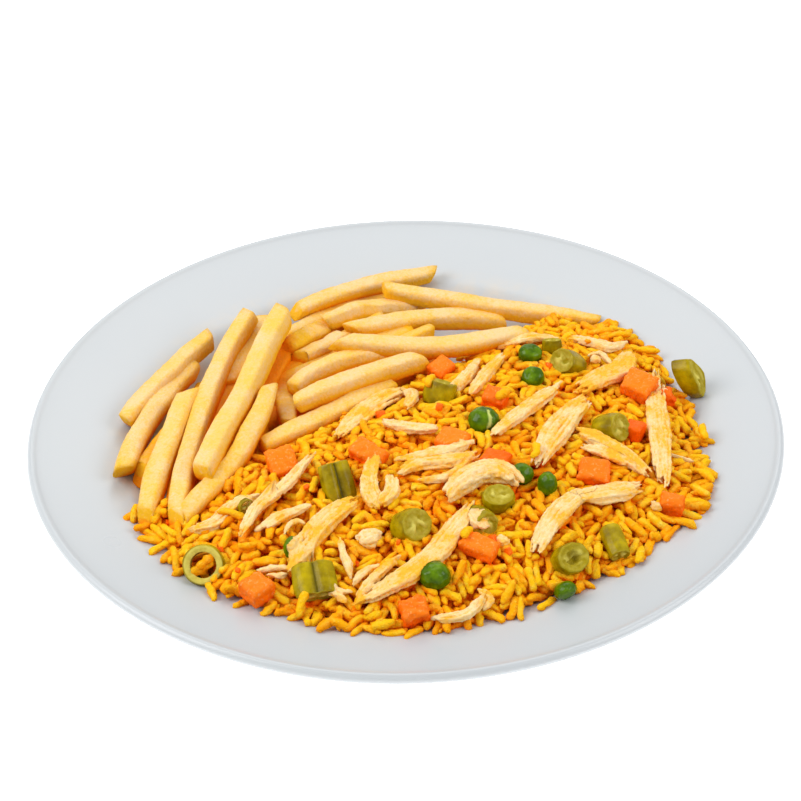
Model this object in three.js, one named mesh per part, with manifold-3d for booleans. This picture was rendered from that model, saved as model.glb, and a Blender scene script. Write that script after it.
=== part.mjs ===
// A plate of arroz con pollo: yellow rice with diced carrot, peas, cut green beans and shreds
// of chicken, and a pile of fries, on a round white plate. Millimetres, +Z up. The plate's
// foot stands on z = 0 with its middle on the Z axis, and the eater sits towards -Y.

import Module from 'manifold-3d';
import * as THREE from 'three';
import { mergeVertices } from 'three/addons/utils/BufferGeometryUtils.js';

const wasm = await Module();
wasm.setup();

// Kept between pieces that lie on each other.
const GAP = 0.3;

// The plate: a flat well, a wall up to the shoulder, and a rim that goes on rising to the lip.
const PLATE_RADIUS = 127;
const PLATE_SEGMENTS = 48;
const PLATE_THICKNESS = 4.5;
const WELL_RADIUS = 80;
const WELL_HEIGHT = 6.5;
const SHOULDER_RADIUS = 98;
const SHOULDER_HEIGHT = 15.5;
const RIM_RADIUS = 123;
const RIM_SLOPE = 0.25;
const LIP_HEIGHT = 22.8;
const FOOT_INNER_RADIUS = 62;
const FOOT_OUTER_RADIUS = 70;
const FOOT_RECESS = 2;

// The rice: a low mound that fills the well up to the shoulder, cut off along a line by the
// fries. A lobe is a place where the rice reaches further out, or less far, round the plate.
const MOUND_X = 16;
const MOUND_Y = -20;
const MOUND_TOP = 29.5;
const MOUND_SHOULDER = 17;
const MOUND_ROUNDNESS = 2.2;
const RICE_REACH = 98.5;
const RICE_LOBES = [
  { at: -92, out: 4, wide: 6 },
  { at: -26, out: 6, wide: 11 },
  { at: 13, out: -3, wide: 8 },
  { at: 46, out: -9, wide: 6 },
];
const RICE_LINE_START = new THREE.Vector2(-88, -38);
const RICE_LINE_END = new THREE.Vector2(62, 72);
const GRAIN_SIZE = 3.2;
const RICE_CELLS = 28;

const FRY_SIDES = 4;
const FRY_STEPS = 3;
const SHRED_SIDES = 6;
const SHRED_STEPS = 5;
const BEAN_SIDES = 8;

const whiteGlaze = { color: 0xe6eaee, roughness: 0.22, metalness: 0 };
const yellowRice = { color: 0xf5b81c, roughness: 0.5, metalness: 0 };
const friedPotato = { color: 0xf6c673, roughness: 0.55, metalness: 0 };
const cookedCarrot = { color: 0xf9702a, roughness: 0.4, metalness: 0 };
const greenPea = { color: 0x3f8a0c, roughness: 0.25, metalness: 0 };
const greenBean = { color: 0x8e9a22, roughness: 0.35, metalness: 0 };
const cookedChicken = { color: 0xf2d68c, roughness: 0.6, metalness: 0 };

const radians = THREE.MathUtils.degToRad;

// A row of random numbers from 0 to 1 that is the same for the same seed.
function seeded(seed) {
  let state = seed;
  return () => {
    state = (state * 1664525 + 1013904223) % 4294967296;
    return state / 4294967296;
  };
}

function weld(geometry) {
  geometry.deleteAttribute('normal');
  geometry.deleteAttribute('uv');
  return mergeVertices(geometry, 1e-3);
}

// Moves each point of a welded shape by a function of its place.
function reshape(geometry, move) {
  const places = geometry.attributes.position;
  const point = new THREE.Vector3();
  for (let i = 0; i < places.count; i += 1) {
    point.fromBufferAttribute(places, i);
    move(point);
    places.setXYZ(i, point.x, point.y, point.z);
  }
  return geometry;
}

function toSolid(geometry) {
  return new wasm.Manifold(new wasm.Mesh({
    numProp: 3,
    vertProperties: new Float32Array(geometry.attributes.position.array),
    triVerts: new Uint32Array(geometry.index.array),
  }));
}

function toGeometry(solid) {
  const { vertProperties, triVerts } = solid.getMesh();
  const geometry = new THREE.BufferGeometry();
  geometry.setAttribute('position', new THREE.BufferAttribute(vertProperties, 3));
  geometry.setIndex(new THREE.BufferAttribute(triVerts, 1));
  return geometry;
}

function boxesMeet(a, b) {
  return [0, 1, 2].every((axis) => a.min[axis] < b.max[axis] && b.min[axis] < a.max[axis]);
}

// The solid without the space that its neighbours take, and without the scraps that this
// leaves.
function clearOf(solid, neighbours) {
  const box = solid.boundingBox();
  const near = neighbours.filter((other) => boxesMeet(box, other.boundingBox()));
  const cut = near.reduce((rest, other) => rest.subtract(other), solid);
  const pieces = cut.decompose().sort((a, b) => b.volume() - a.volume());
  return pieces[0];
}

const plateOfFood = new THREE.Group();

// Adds a piece as a mesh that is placed by its middle.
function add(name, solid, finish) {
  const geometry = toGeometry(solid);
  geometry.computeBoundingBox();
  const middle = geometry.boundingBox.getCenter(new THREE.Vector3());
  geometry.translate(-middle.x, -middle.y, -middle.z);
  const mesh = new THREE.Mesh(geometry, new THREE.MeshStandardMaterial(finish));
  mesh.name = name;
  mesh.position.copy(middle);
  plateOfFood.add(mesh);
}

function numbered(kind, index) {
  return `${kind}_${String(index + 1).padStart(2, '0')}`;
}

// A bar along a curve. Its section is a polygon whose half width and half height change on
// the way, and it can turn about the curve.
function bar(curve, { sides, steps, halfWidth, halfHeight, turn = () => 0, grow = 0 }) {
  const corner = sides === 4 ? Math.SQRT2 : 1;
  const start = sides === 4 ? Math.PI / 4 : 0;
  const cylinder = new THREE.CylinderGeometry(corner, corner, 1, sides, steps, false, start);
  const up = new THREE.Vector3(0, 0, 1);
  return reshape(weld(cylinder), (point) => {
    const t = point.y + 0.5;
    const along = curve.getTangent(t);
    const across = new THREE.Vector3().crossVectors(along, up).normalize();
    const outward = new THREE.Vector3().crossVectors(across, along);
    const spot = new THREE.Vector2(point.x, point.z);
    spot.rotateAround(new THREE.Vector2(), turn(t));
    const place = curve.getPoint(t);
    place.addScaledVector(along, grow * (2 * t - 1));
    place.addScaledVector(across, spot.x * (halfWidth(t) + grow));
    place.addScaledVector(outward, spot.y * (halfHeight(t) + grow));
    point.copy(place);
  });
}

// Leans a piece from upright by an angle, towards a direction round the plate (-90 is
// towards the eater), and puts it in its place.
function set(geometry, { at, lean = 0, aim = -90, spin = 0 }) {
  const direction = radians(aim);
  const hinge = new THREE.Vector3(-Math.sin(direction), Math.cos(direction), 0);
  const tilt = new THREE.Matrix4().makeRotationAxis(hinge, radians(lean));
  geometry.rotateZ(radians(spin));
  geometry.applyMatrix4(tilt);
  geometry.translate(...at);
  return geometry;
}

// The plate's upper face.
function plateTop(radius) {
  const wall = THREE.MathUtils.smoothstep(radius, WELL_RADIUS, SHOULDER_RADIUS);
  const rim = Math.max(0, Math.min(radius, RIM_RADIUS) - SHOULDER_RADIUS);
  return WELL_HEIGHT + (SHOULDER_HEIGHT - WELL_HEIGHT) * wall + RIM_SLOPE * rim;
}

function makePlate(grow = 0) {
  const underneath = (radius) => new THREE.Vector2(radius, plateTop(radius) - PLATE_THICKNESS);
  const above = (radius) => new THREE.Vector2(radius, plateTop(radius) + grow);
  const outline = [
    new THREE.Vector2(0, FOOT_RECESS),
    new THREE.Vector2(FOOT_INNER_RADIUS - 1, FOOT_RECESS),
    new THREE.Vector2(FOOT_INNER_RADIUS, 0),
    new THREE.Vector2(FOOT_OUTER_RADIUS, 0),
    new THREE.Vector2(FOOT_OUTER_RADIUS + 2, FOOT_RECESS),
    ...[86, SHOULDER_RADIUS + 2, RIM_RADIUS].map(underneath),
    new THREE.Vector2(PLATE_RADIUS - 1, LIP_HEIGHT - 3.6),
    new THREE.Vector2(PLATE_RADIUS, LIP_HEIGHT - 1.4),
    new THREE.Vector2(PLATE_RADIUS - 1.2, LIP_HEIGHT),
    ...[RIM_RADIUS, SHOULDER_RADIUS + 1, 94, 89, 84, WELL_RADIUS - 1, 0].map(above),
  ];
  const lathe = new THREE.LatheGeometry(outline, PLATE_SEGMENTS);
  return toSolid(weld(lathe.rotateX(Math.PI / 2)));
}

// How far the rice reaches from the plate's middle, round the plate.
function riceReach(x, y) {
  const degrees = THREE.MathUtils.radToDeg(Math.atan2(y, x));
  const lobes = RICE_LOBES.map(({ at, out, wide }) => out * Math.exp(-(((degrees - at) / wide) ** 2)));
  return lobes.reduce((sum, lobe) => sum + lobe, RICE_REACH);
}

// The way from the mound's middle to its edge: the reach round the plate or, sooner, the line
// along the fries.
function moundEdge(direction) {
  const middle = new THREE.Vector2(MOUND_X, MOUND_Y);
  const towards = middle.dot(direction);
  let reach = RICE_REACH;
  let distance = 0;
  for (let round = 0; round < 4; round += 1) {
    distance = -towards + Math.sqrt(towards ** 2 - middle.lengthSq() + reach ** 2);
    const { x, y } = direction.clone().multiplyScalar(distance).add(middle);
    reach = riceReach(x, y);
  }
  const line = RICE_LINE_END.clone().sub(RICE_LINE_START);
  const facing = new THREE.Vector2(-line.y, line.x).normalize();
  const speed = direction.dot(facing);
  const room = RICE_LINE_START.clone().sub(middle).dot(facing);
  return speed > 1e-6 ? Math.min(distance, room / speed) : distance;
}

// The mound's height over a place on the plate.
function moundTop(x, y) {
  const offset = new THREE.Vector2(x - MOUND_X, y - MOUND_Y);
  const distance = Math.max(offset.length(), 1e-6);
  const inward = 1 - distance / moundEdge(offset.clone().normalize());
  const bare = plateTop(Math.hypot(x, y));
  if (inward <= 0) return bare;
  const swell = 1 - (1 - inward) ** MOUND_ROUNDNESS;
  const mound = MOUND_SHOULDER + (MOUND_TOP - MOUND_SHOULDER) * swell;
  const heel = THREE.MathUtils.smoothstep(inward, 0, 0.07);
  return THREE.MathUtils.lerp(bare + GRAIN_SIZE / 2, mound, heel);
}

// The rice has bumps of a grain's size. A square sheet is drawn round into a disc, which
// keeps the bumps even.
function makeRice() {
  const random = seeded(7);
  const block = new THREE.BoxGeometry(2, 2, 2, RICE_CELLS, RICE_CELLS, 1);
  return toSolid(reshape(weld(block), (point) => {
    const across = new THREE.Vector2(
      point.x * Math.sqrt(1 - point.y ** 2 / 2),
      point.y * Math.sqrt(1 - point.x ** 2 / 2),
    );
    const part = Math.min(across.length(), 1);
    const direction = part > 1e-6 ? across.clone().normalize() : new THREE.Vector2(1, 0);
    const reach = moundEdge(direction) * part * (1 + (random() - 0.5) * 0.02);
    const x = MOUND_X + direction.x * reach;
    const y = MOUND_Y + direction.y * reach;
    const bump = (random() - 0.5) * GRAIN_SIZE * 0.8;
    point.set(x, y, point.z > 0 ? Math.max(moundTop(x, y), plateTop(Math.hypot(x, y)) + 1) + bump : 0);
  }));
}

// The fries, from the bottom of the pile to the top: where each one's middle line starts and
// ends, how far it bows to its left, and how thick it is.
const FRIES = [
  { from: [-88, -20, 16], to: [-73, 20, 15], bow: 0, thick: 7.2 },
  { from: [-75, -36, 17], to: [-72, 6, 15], bow: 0, thick: 7.2 },
  { from: [-63, -28, 17], to: [-53, 14, 15], bow: 0, thick: 7.2 },
  { from: [-68, -4, 18], to: [-57, 32, 18], bow: 1, thick: 7.4 },
  { from: [-49, 19, 20], to: [-40, 53, 19], bow: -1, thick: 7.2 },
  { from: [-61, 23, 21], to: [-51, 65, 19], bow: -1, thick: 7.4 },
  { from: [-45, 38, 14], to: [-15, 80, 12], bow: 0, thick: 7.4 },
  { from: [-41, 41, 23], to: [-28, 57, 21], bow: 0, thick: 7.2 },
  { from: [-36, 37, 22], to: [-21, 51, 21], bow: -1, thick: 6.2 },
  { from: [-42, 52, 20], to: [-4, 85, 14], bow: 2, thick: 6.4 },
  { from: [-38, 65, 23], to: [12, 94, 18.5], bow: 3.5, thick: 6.2 },
  { from: [-27, 56, 24], to: [7, 76, 16], bow: 3.5, thick: 6.8 },
  { from: [-18, 52, 23], to: [36, 66, 15.5], bow: 4, thick: 7 },
  { from: [-6, 76, 24], to: [70, 65, 15], bow: -0.7, thick: 6.3 },
  { from: [-95, 7, 19], to: [-69, 54, 19.5], bow: 1, thick: 7.2 },
  { from: [-93.5, -21, 19], to: [-75, 39, 17], bow: 3, thick: 7.3 },
  { from: [-84.5, -45.5, 19.2], to: [-73, 14, 25], bow: 1, thick: 7.5 },
  { from: [-39, 1, 20], to: [-43, 25, 18], bow: 0, thick: 7 },
  { from: [-47.5, -13, 22], to: [-5, 18, 23], bow: -1, thick: 7 },
  { from: [-38, 16, 24], to: [-4, 35, 24], bow: 5, thick: 6.9 },
  { from: [-22, 38, 28], to: [41, 43, 26], bow: -6, thick: 6.9 },
  { from: [-36, 2, 28], to: [6, 27, 27], bow: 1, thick: 7.4 },
  { from: [-74, -49, 20], to: [-55, 58, 27], bow: 4, thick: 7.3 },
  { from: [-72, -48, 20], to: [-46, 8, 29], bow: -4, thick: 7.3 },
  { from: [-66, -33, 27], to: [-42, 50, 32], bow: 0, thick: 8.3 },
];

// What fills the two arms of the pile below the fries that show: each arm's middle, its half
// sizes and the way that it runs.
const PILE_ARMS = [
  { middle: [-64, 4, 8], half: [46, 17, 12], turn: 79 },
  { middle: [-24, 30, 8], half: [50, 24, 15], turn: 33 },
];

function makeFry({ from, to, bow, thick }, index, grow) {
  const start = new THREE.Vector3(...from);
  const end = new THREE.Vector3(...to);
  const left = new THREE.Vector3(start.y - end.y, end.x - start.x, 0).normalize();
  const bend = start.clone().lerp(end, 0.5).addScaledVector(left, 2 * bow);
  const curve = new THREE.QuadraticBezierCurve3(start, bend, end);
  const roll = radians(12 * Math.sin(index * 2.4));
  const half = thick / 2;
  const taper = (t) => half * (1 - 0.1 * Math.abs(2 * t - 1) ** 3);
  return toSolid(bar(curve, {
    sides: FRY_SIDES,
    steps: FRY_STEPS,
    halfWidth: taper,
    halfHeight: taper,
    turn: () => roll,
    grow,
  }));
}

function makeArm({ middle, half, turn }, grow) {
  const arm = weld(new THREE.SphereGeometry(1, 12, 6).rotateX(Math.PI / 2));
  arm.scale(...half.map((radius) => radius + grow));
  arm.rotateZ(radians(turn));
  return toSolid(arm.translate(...middle));
}

function makeFries(grow = 0) {
  const arms = PILE_ARMS.map((arm) => makeArm(arm, grow));
  const fries = FRIES.map((fry, index) => makeFry(fry, index, grow));
  return [...arms, ...fries].reduce((pile, piece) => pile.add(piece));
}

// Diced carrot: the middle of each dice, its sizes, and how it lies.
const CARROTS = [
  { at: [-40, -30, 27.5], size: [9.5, 10.5, 9], spin: 20, lean: 35 },
  { at: [-47, -84, 20.6], size: [9, 9, 7], spin: 42, lean: 4 },
  { at: [-12, -30, 30.5], size: [12.5, 7, 6.5], spin: -37, lean: 20 },
  { at: [15.5, -25.5, 30.5], size: [10.5, 8.5, 7.5], spin: -24, lean: 10 },
  { at: [29, -35.5, 30.5], size: [9.5, 7, 6.5], spin: -25, lean: 5 },
  { at: [13, 24.5, 24.5], size: [8.5, 7.5, 6.5], spin: 45, lean: 15 },
  { at: [30.5, -1, 30.5], size: [8, 7, 6], spin: -25, lean: 12 },
  { at: [80, 10.5, 24], size: [11, 10.5, 10.5], spin: -33, lean: 14 },
  { at: [60.5, -38.5, 26.5], size: [10.5, 9, 8.5], spin: -12, lean: 20 },
  { at: [76, -14, 25], size: [6.5, 6.5, 6.5], spin: -30, lean: 0 },
  { at: [85, -48, 20], size: [8, 6, 9.5], spin: -15, lean: 12 },
  { at: [22, -72.5, 26], size: [12.5, 7.5, 6], spin: -28, lean: 15 },
  { at: [1.5, -95.5, 20.3], size: [8.6, 8.2, 8], spin: 15, lean: 25 },
  { at: [89, 9, 21.5], size: [5.5, 6, 6], spin: 10, lean: 10 },
];
const CARROT_BEVEL = 0.9;

function makeCarrot({ at, size, spin, lean }, index, grow = 0) {
  const random = seeded(40 + index);
  const [halfX, halfY, halfZ] = size.map((side) => side / 2 - CARROT_BEVEL);
  const corners = [[1, 1], [-1, 1], [-1, -1], [1, -1]].map(([x, y]) => {
    const short = 1 - 0.16 * random();
    return new THREE.Vector2(x * halfX * short, y * halfY * (1 - 0.16 * random()));
  });
  const dice = new THREE.ExtrudeGeometry(new THREE.Shape(corners), {
    depth: 2 * halfZ,
    bevelEnabled: true,
    bevelThickness: CARROT_BEVEL + grow,
    bevelSize: CARROT_BEVEL + grow,
    bevelSegments: 1,
  });
  return toSolid(set(weld(dice.translate(0, 0, -halfZ)), { at, spin, lean }));
}

// Peas: the middle of each one, its half sizes, and how it lies.
const PEAS = [
  { at: [26, -14, 31], half: [5.2, 4.8, 4.6] },
  { at: [44, 12, 29.5], half: [3.9, 3.7, 3.6] },
  { at: [44, 28, 28], half: [4.2, 3.6, 3.3] },
  { at: [8, -84, 24.5], half: [4.9, 4.7, 4.5] },
  { at: [45, -46, 29], half: [3.2, 3.4, 4.4] },
  { at: [37, -41, 29.5], half: [4, 3.6, 3.6] },
  { at: [-36, -69, 24.5], half: [3, 3.6, 3.8] },
  { at: [48, -86, 19], half: [3.6, 2.8, 4.6], lean: 45, spin: 20 },
];

function makePea({ at, half, lean, spin }, grow = 0) {
  const pea = weld(new THREE.IcosahedronGeometry(1, 1));
  pea.scale(...half.map((radius) => radius + grow));
  return toSolid(set(pea, { at, lean, spin }));
}

// Green beans, cut across. A long pod has a groove down each side, and a thin slice can be
// empty in the middle.
const BEANS = [
  { at: [12, 5, 29], wide: 11.5, thick: 8.5, long: 8, lean: 30, aim: 60 },
  { at: [-22, -43, 29], wide: 10.6, thick: 7.5, long: 13.5, lean: 45, aim: 110, groove: 0.4 },
  { at: [1, -64, 28], wide: 11.5, thick: 11, long: 8.5, lean: 50, aim: -50 },
  { at: [-64, -71, 20], wide: 13.4, thick: 13.4, long: 6, lean: 48, aim: -90, hollow: 0.66 },
  { at: [-29, -83, 23], wide: 13.6, thick: 7.5, long: 11, lean: 112, aim: -80, groove: 0.35 },
  { at: [29, -53, 29], wide: 10.6, thick: 9.2, long: 5, lean: 12, aim: -90 },
  { at: [23, -62, 27.5], wide: 9, thick: 9, long: 8, lean: 75, aim: -60 },
  { at: [50, -75, 22], wide: 11.7, thick: 10, long: 7.5, lean: 42, aim: -60, hollow: 0.4 },
  { at: [65, -66, 21], wide: 7.2, thick: 6, long: 11, lean: 105, aim: -75 },
  { at: [68, -15, 27], wide: 10.5, thick: 10, long: 9, lean: 60, aim: -35 },
  { at: [98.7, 17.3, 23.4], wide: 8, thick: 15, long: 8.5, lean: 76, aim: -25 },
  { at: [57, 23, 27], wide: 10.5, thick: 9, long: 9, lean: 50, aim: -140 },
  { at: [52, 34, 26.5], wide: 7, thick: 5, long: 5, lean: 20, aim: 90 },
  { at: [-52.5, -47.5, 25], wide: 5.5, thick: 5.5, long: 6.5, lean: 70, aim: -60 },
];

function makeBean({ at, wide, thick, long, lean, aim, groove = 0, hollow = 0 }, grow = 0) {
  const pose = { at, lean, aim, spin: aim };
  const halfLong = long / 2 + grow;
  const pod = new THREE.CylinderGeometry(1, 1, 2, BEAN_SIDES, 1).rotateX(Math.PI / 2);
  const shaped = reshape(weld(pod), (point) => {
    const plump = 1 - 0.08 * point.z ** 2;
    const dent = 1 - groove * Math.exp(-((point.y / 0.35) ** 2));
    const x = point.x * dent * (thick / 2) * plump;
    const y = point.y * (wide / 2) * plump;
    const out = Math.hypot(x, y);
    const wider = out > 1e-6 ? (out + grow) / out : 1;
    point.set(x * wider, y * wider, point.z * halfLong);
  });
  const bean = toSolid(set(shaped, pose));
  if (hollow === 0 || grow > 0) return bean;
  const bore = new THREE.CylinderGeometry(1, 1, 1, 8, 1).rotateX(Math.PI / 2);
  const depth = hollow > 0.5 ? 2 * long : 0.5 * long;
  bore.scale(thick / 2 * hollow, wide / 2 * hollow, depth);
  bore.translate(0, 0, hollow > 0.5 ? 0 : long / 2);
  return bean.subtract(toSolid(set(weld(bore), pose)));
}

// Shredded chicken. Each shred is one or more strands that grow together: the way that a
// strand takes over the plate, its width, and its middle's height over the rice.
const SHREDS = [
  [
    { way: [[-18, -93], [-5, -87], [7, -78], [15, -66], [21, -55]], wide: 7.5, over: 3 },
    { way: [[-16, -91], [-11, -84], [-2, -76]], wide: 3.2, over: 2.5 },
  ],
  [{ way: [[-37, -80], [-32, -70], [-25, -60], [-14, -51]], wide: 7.5, over: 3.2 }],
  [
    { way: [[-10, -32], [-12, -47], [-9, -58]], wide: 6, over: 3 },
    { way: [[-5, -41], [-5, -50], [-10, -56]], wide: 5, over: 2.8 },
  ],
  [{ way: [[-53, -64], [-48, -53], [-39, -44], [-29, -27]], wide: 4.4, over: 2.8 }],
  [{ way: [[-70, -56], [-62, -55], [-56, -49], [-46, -45]], wide: 4.8, over: 2.6 }],
  [{ way: [[-47, -61], [-39, -56], [-30, -52]], wide: 3.4, over: 2.4 }],
  [
    { way: [[-23, -19], [-16, -7], [-8, 5], [1, 11]], wide: 8.6, over: 2.8 },
    { way: [[0, 12], [3, 5], [0, -5]], wide: 4, over: 2.6 },
  ],
  [{ way: [[-8, -11], [2, -18], [12, -19]], wide: 4.2, over: 2.6 }],
  [
    { way: [[-4, -35], [11, -32], [23, -27]], wide: 4.2, over: 3 },
    { way: [[-3, -42], [5, -37], [16, -36], [24, -32]], wide: 5.4, over: 2.8 },
    { way: [[3, -45], [14, -43], [21, -34]], wide: 3, over: 2.4 },
  ],
  [{ way: [[12, -55], [16, -49], [24, -43], [31, -43], [37, -49]], wide: 9, over: 3.4 }],
  [
    { way: [[39, -75], [44, -64], [53, -52], [59, -49]], wide: 7.6, over: 3 },
    { way: [[54, -51], [65, -48], [76, -43]], wide: 8, over: 3 },
  ],
  [{ way: [[88, 26], [85, 2], [84, -22], [82, -44]], wide: 7.4, over: 3.4 }],
  [{ way: [[41, -40], [47, -26], [54, -12], [62, 1]], wide: 9.4, over: 3 }],
  [{ way: [[28, -24], [36, -14], [45, -3], [55, 10]], wide: 5.8, over: 2.8 }],
  [{ way: [[57, 3], [66, 13], [75, 22], [79, 35]], wide: 8.8, over: 2.8 }],
  [{ way: [[31, 37], [44, 39], [55, 40]], wide: 3.6, over: 2.4 }],
  [
    { way: [[55, -18], [65, -24], [73, -31], [79, -38]], wide: 7.2, over: 2.8 },
    { way: [[57, -26], [65, -29], [73, -34]], wide: 3.8, over: 2.4 },
  ],
  [{ way: [[16, 4], [21, 13], [26, 27]], wide: 4.4, over: 2.6 }],
  [{ way: [[22, 1], [28, 13], [35, 28]], wide: 4.4, over: 2.6 }],
  [{ way: [[57, 40], [67, 38], [73, 36], [80, 43]], wide: 4, over: 2.6 }],
  [{ way: [[6, -99], [17, -97], [24, -89]], wide: 3.4, over: 2.6 }],
];

// A strand is thicker in the middle than at its torn ends, and its edges are ragged.
function makeStrand({ way, wide, over }, seed, grow = 0) {
  const random = seeded(seed);
  const places = way.map(([x, y]) => new THREE.Vector3(x, y, moundTop(x, y) + over));
  const curve = new THREE.CatmullRomCurve3(places);
  const ragged = Array.from({ length: SHRED_STEPS + 1 }, () => 0.86 + 0.28 * random());
  const lean = 0.5 * (random() - 0.5);
  const torn = (t) => ragged[Math.round(t * SHRED_STEPS)] * (0.5 + 0.5 * Math.sin(Math.PI * t) ** 0.5);
  return toSolid(bar(curve, {
    sides: SHRED_SIDES,
    steps: SHRED_STEPS,
    halfWidth: (t) => wide / 2 * torn(t),
    halfHeight: (t) => (0.6 + 0.19 * wide) * torn(t),
    turn: (t) => lean * Math.sin(2.5 * t),
    grow,
  }));
}

function makeShred(strands, index, grow = 0) {
  const solids = strands.map((strand, part) => makeStrand(strand, 90 + 5 * index + part, grow));
  return solids.reduce((shred, strand) => shred.add(strand));
}

// The pieces go on the plate in order, and each is cut clear of those before it. The rice
// comes last, because it gives way to all that lies in it.
const taken = [makePlate(GAP)];

function lay(name, make, finish) {
  const piece = clearOf(make(0), taken);
  add(name, piece, finish);
  taken.push(make(GAP));
}

add('plate', makePlate(), whiteGlaze);
lay('fries', makeFries, friedPotato);
CARROTS.forEach((carrot, index) => {
  lay(numbered('carrot', index), (grow) => makeCarrot(carrot, index, grow), cookedCarrot);
});
PEAS.forEach((pea, index) => {
  lay(numbered('pea', index), (grow) => makePea(pea, grow), greenPea);
});
BEANS.forEach((bean, index) => {
  lay(numbered('bean', index), (grow) => makeBean(bean, grow), greenBean);
});
SHREDS.forEach((strands, index) => {
  lay(numbered('chicken', index), (grow) => makeShred(strands, index, grow), cookedChicken);
});
add('rice', clearOf(makeRice(), taken), yellowRice);

export default plateOfFood;
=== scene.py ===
import math

import bpy
import numpy as np
from mathutils import Matrix, Vector, noise
from mathutils.bvhtree import BVHTree


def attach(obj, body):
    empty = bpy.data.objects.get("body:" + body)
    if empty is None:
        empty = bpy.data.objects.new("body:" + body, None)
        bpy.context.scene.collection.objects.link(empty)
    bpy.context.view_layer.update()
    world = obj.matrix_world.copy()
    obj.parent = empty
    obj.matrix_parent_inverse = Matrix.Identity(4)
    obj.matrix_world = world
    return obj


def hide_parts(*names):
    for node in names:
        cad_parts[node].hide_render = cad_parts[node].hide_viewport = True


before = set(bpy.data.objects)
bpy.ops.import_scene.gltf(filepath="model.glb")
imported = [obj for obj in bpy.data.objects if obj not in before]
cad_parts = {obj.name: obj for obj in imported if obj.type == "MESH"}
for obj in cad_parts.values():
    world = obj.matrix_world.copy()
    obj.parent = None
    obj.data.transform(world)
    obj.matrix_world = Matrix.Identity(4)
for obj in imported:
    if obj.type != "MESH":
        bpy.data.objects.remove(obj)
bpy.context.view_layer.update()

# The view: from the eater's side and above, as a diner looks down at the plate. The turns are
# the small ones by which the picture is off its middle and off the level.
VIEW_ELEVATION = 36.8
VIEW_DISTANCE = 0.75
VIEW_HEIGHT = 0.023
VIEW_TURN = 0.0985
VIEW_TILT = 0.4166
VIEW_ROLL = -1.4529
VIEW_LENS = 99.8

lens = bpy.data.cameras.new("view")
lens.lens = VIEW_LENS
lens.sensor_width = 36
lens.sensor_fit = "HORIZONTAL"
view = bpy.data.objects.new("view", lens)
bpy.context.scene.collection.objects.link(view)
bpy.context.scene.camera = view
view.matrix_world = (
    Matrix.Translation((0, 0, VIEW_HEIGHT))
    @ Matrix.Rotation(math.radians(90 - VIEW_ELEVATION), 4, "X")
    @ Matrix.Translation((0, 0, VIEW_DISTANCE))
    @ Matrix.Rotation(math.radians(VIEW_TURN), 4, "Y")
    @ Matrix.Rotation(math.radians(VIEW_TILT), 4, "X")
    @ Matrix.Rotation(math.radians(VIEW_ROLL), 4, "Z")
)

# The light: a soft box on each side, a wide one over the back, and a white room.
SOFT_BOXES = {
    "left": {"at": (-0.75, -0.15, 0.75), "size": 0.7, "watts": 7.3},
    "right": {"at": (0.8, -0.25, 0.65), "size": 0.6, "watts": 4.5},
    "back": {"at": (0.05, 0.75, 0.9), "size": 0.9, "watts": 4.4},
}
ROOM_LIGHT = 0.48

for side, box in SOFT_BOXES.items():
    lamp = bpy.data.lights.new(f"soft_box_{side}", "AREA")
    lamp.size = box["size"]
    lamp.energy = box["watts"]
    stand = bpy.data.objects.new(f"soft_box_{side}", lamp)
    stand.location = box["at"]
    stand.rotation_euler = (-Vector(box["at"])).to_track_quat("-Z", "Y").to_euler()
    bpy.context.scene.collection.objects.link(stand)

room = bpy.data.worlds.new("white_room")
room.use_nodes = True
room.node_tree.nodes["Background"].inputs["Color"].default_value = (1, 1, 1, 1)
room.node_tree.nodes["Background"].inputs["Strength"].default_value = ROOM_LIGHT
bpy.context.scene.world = room
bpy.context.scene.view_settings.view_transform = "Standard"

# The floor: a plain white table top, matt, with a grain that is too faint to see as a pattern.
FLOOR_HALF = 3.0
FLOOR_WHITE = (0.93, 0.93, 0.93, 1)
FLOOR_PALE = (0.95, 0.95, 0.95, 1)
FLOOR_GLOW = 0.66


class Field:
    """One socket of a material's nodes. Python's operators on it add Math nodes."""

    def __init__(self, tree, socket=None):
        self.tree = tree
        self.socket = socket

    def node(self, kind, settings=None, inputs=None, output=0):
        """Adds a node: first its settings, then the values or links of its sockets."""
        made = self.tree.nodes.new(kind)
        for name, value in (settings or {}).items():
            setattr(made, name, value)
        for name, value in (inputs or {}).items():
            if isinstance(value, Field):
                self.tree.links.new(value.socket, made.inputs[name])
            else:
                made.inputs[name].default_value = value
        return Field(self.tree, made.outputs[output])

    def math(self, operation, *values):
        """Adds a Math node for one operation on its values."""
        return self.node("ShaderNodeMath", {"operation": operation}, dict(enumerate(values)))

    def __add__(self, other):
        return self.math("ADD", self, other)

    def __rsub__(self, other):
        return self.math("SUBTRACT", other, self)

    def __mul__(self, other):
        return self.math("MULTIPLY", self, other)

    __radd__ = __add__
    __rmul__ = __mul__


def new_finish(name, constants):
    """A material with constants on its shader, and the first field to build the others from."""
    finish = bpy.data.materials.new(name)
    finish.use_nodes = True
    shader = finish.node_tree.nodes["Principled BSDF"]
    for socket, value in constants.items():
        shader.inputs[socket].default_value = value
    return finish, Field(finish.node_tree)


def feed(finish, socket, field):
    """Links a field to one of the shader's sockets."""
    shader = finish.node_tree.nodes["Principled BSDF"]
    finish.node_tree.links.new(field.socket, shader.inputs[socket])


def place_on_piece(start):
    """The place on the object, in metres."""
    return start.node("ShaderNodeTexCoord", output="Object")


def speckle(place, per_metre, detail=3.0, rough=0.55):
    """Noise from about 0.2 to 0.8 that repeats so many times a metre."""
    return place.node("ShaderNodeTexNoise", {}, {
        "Vector": place, "Scale": float(per_metre), "Detail": detail, "Roughness": rough})


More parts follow.
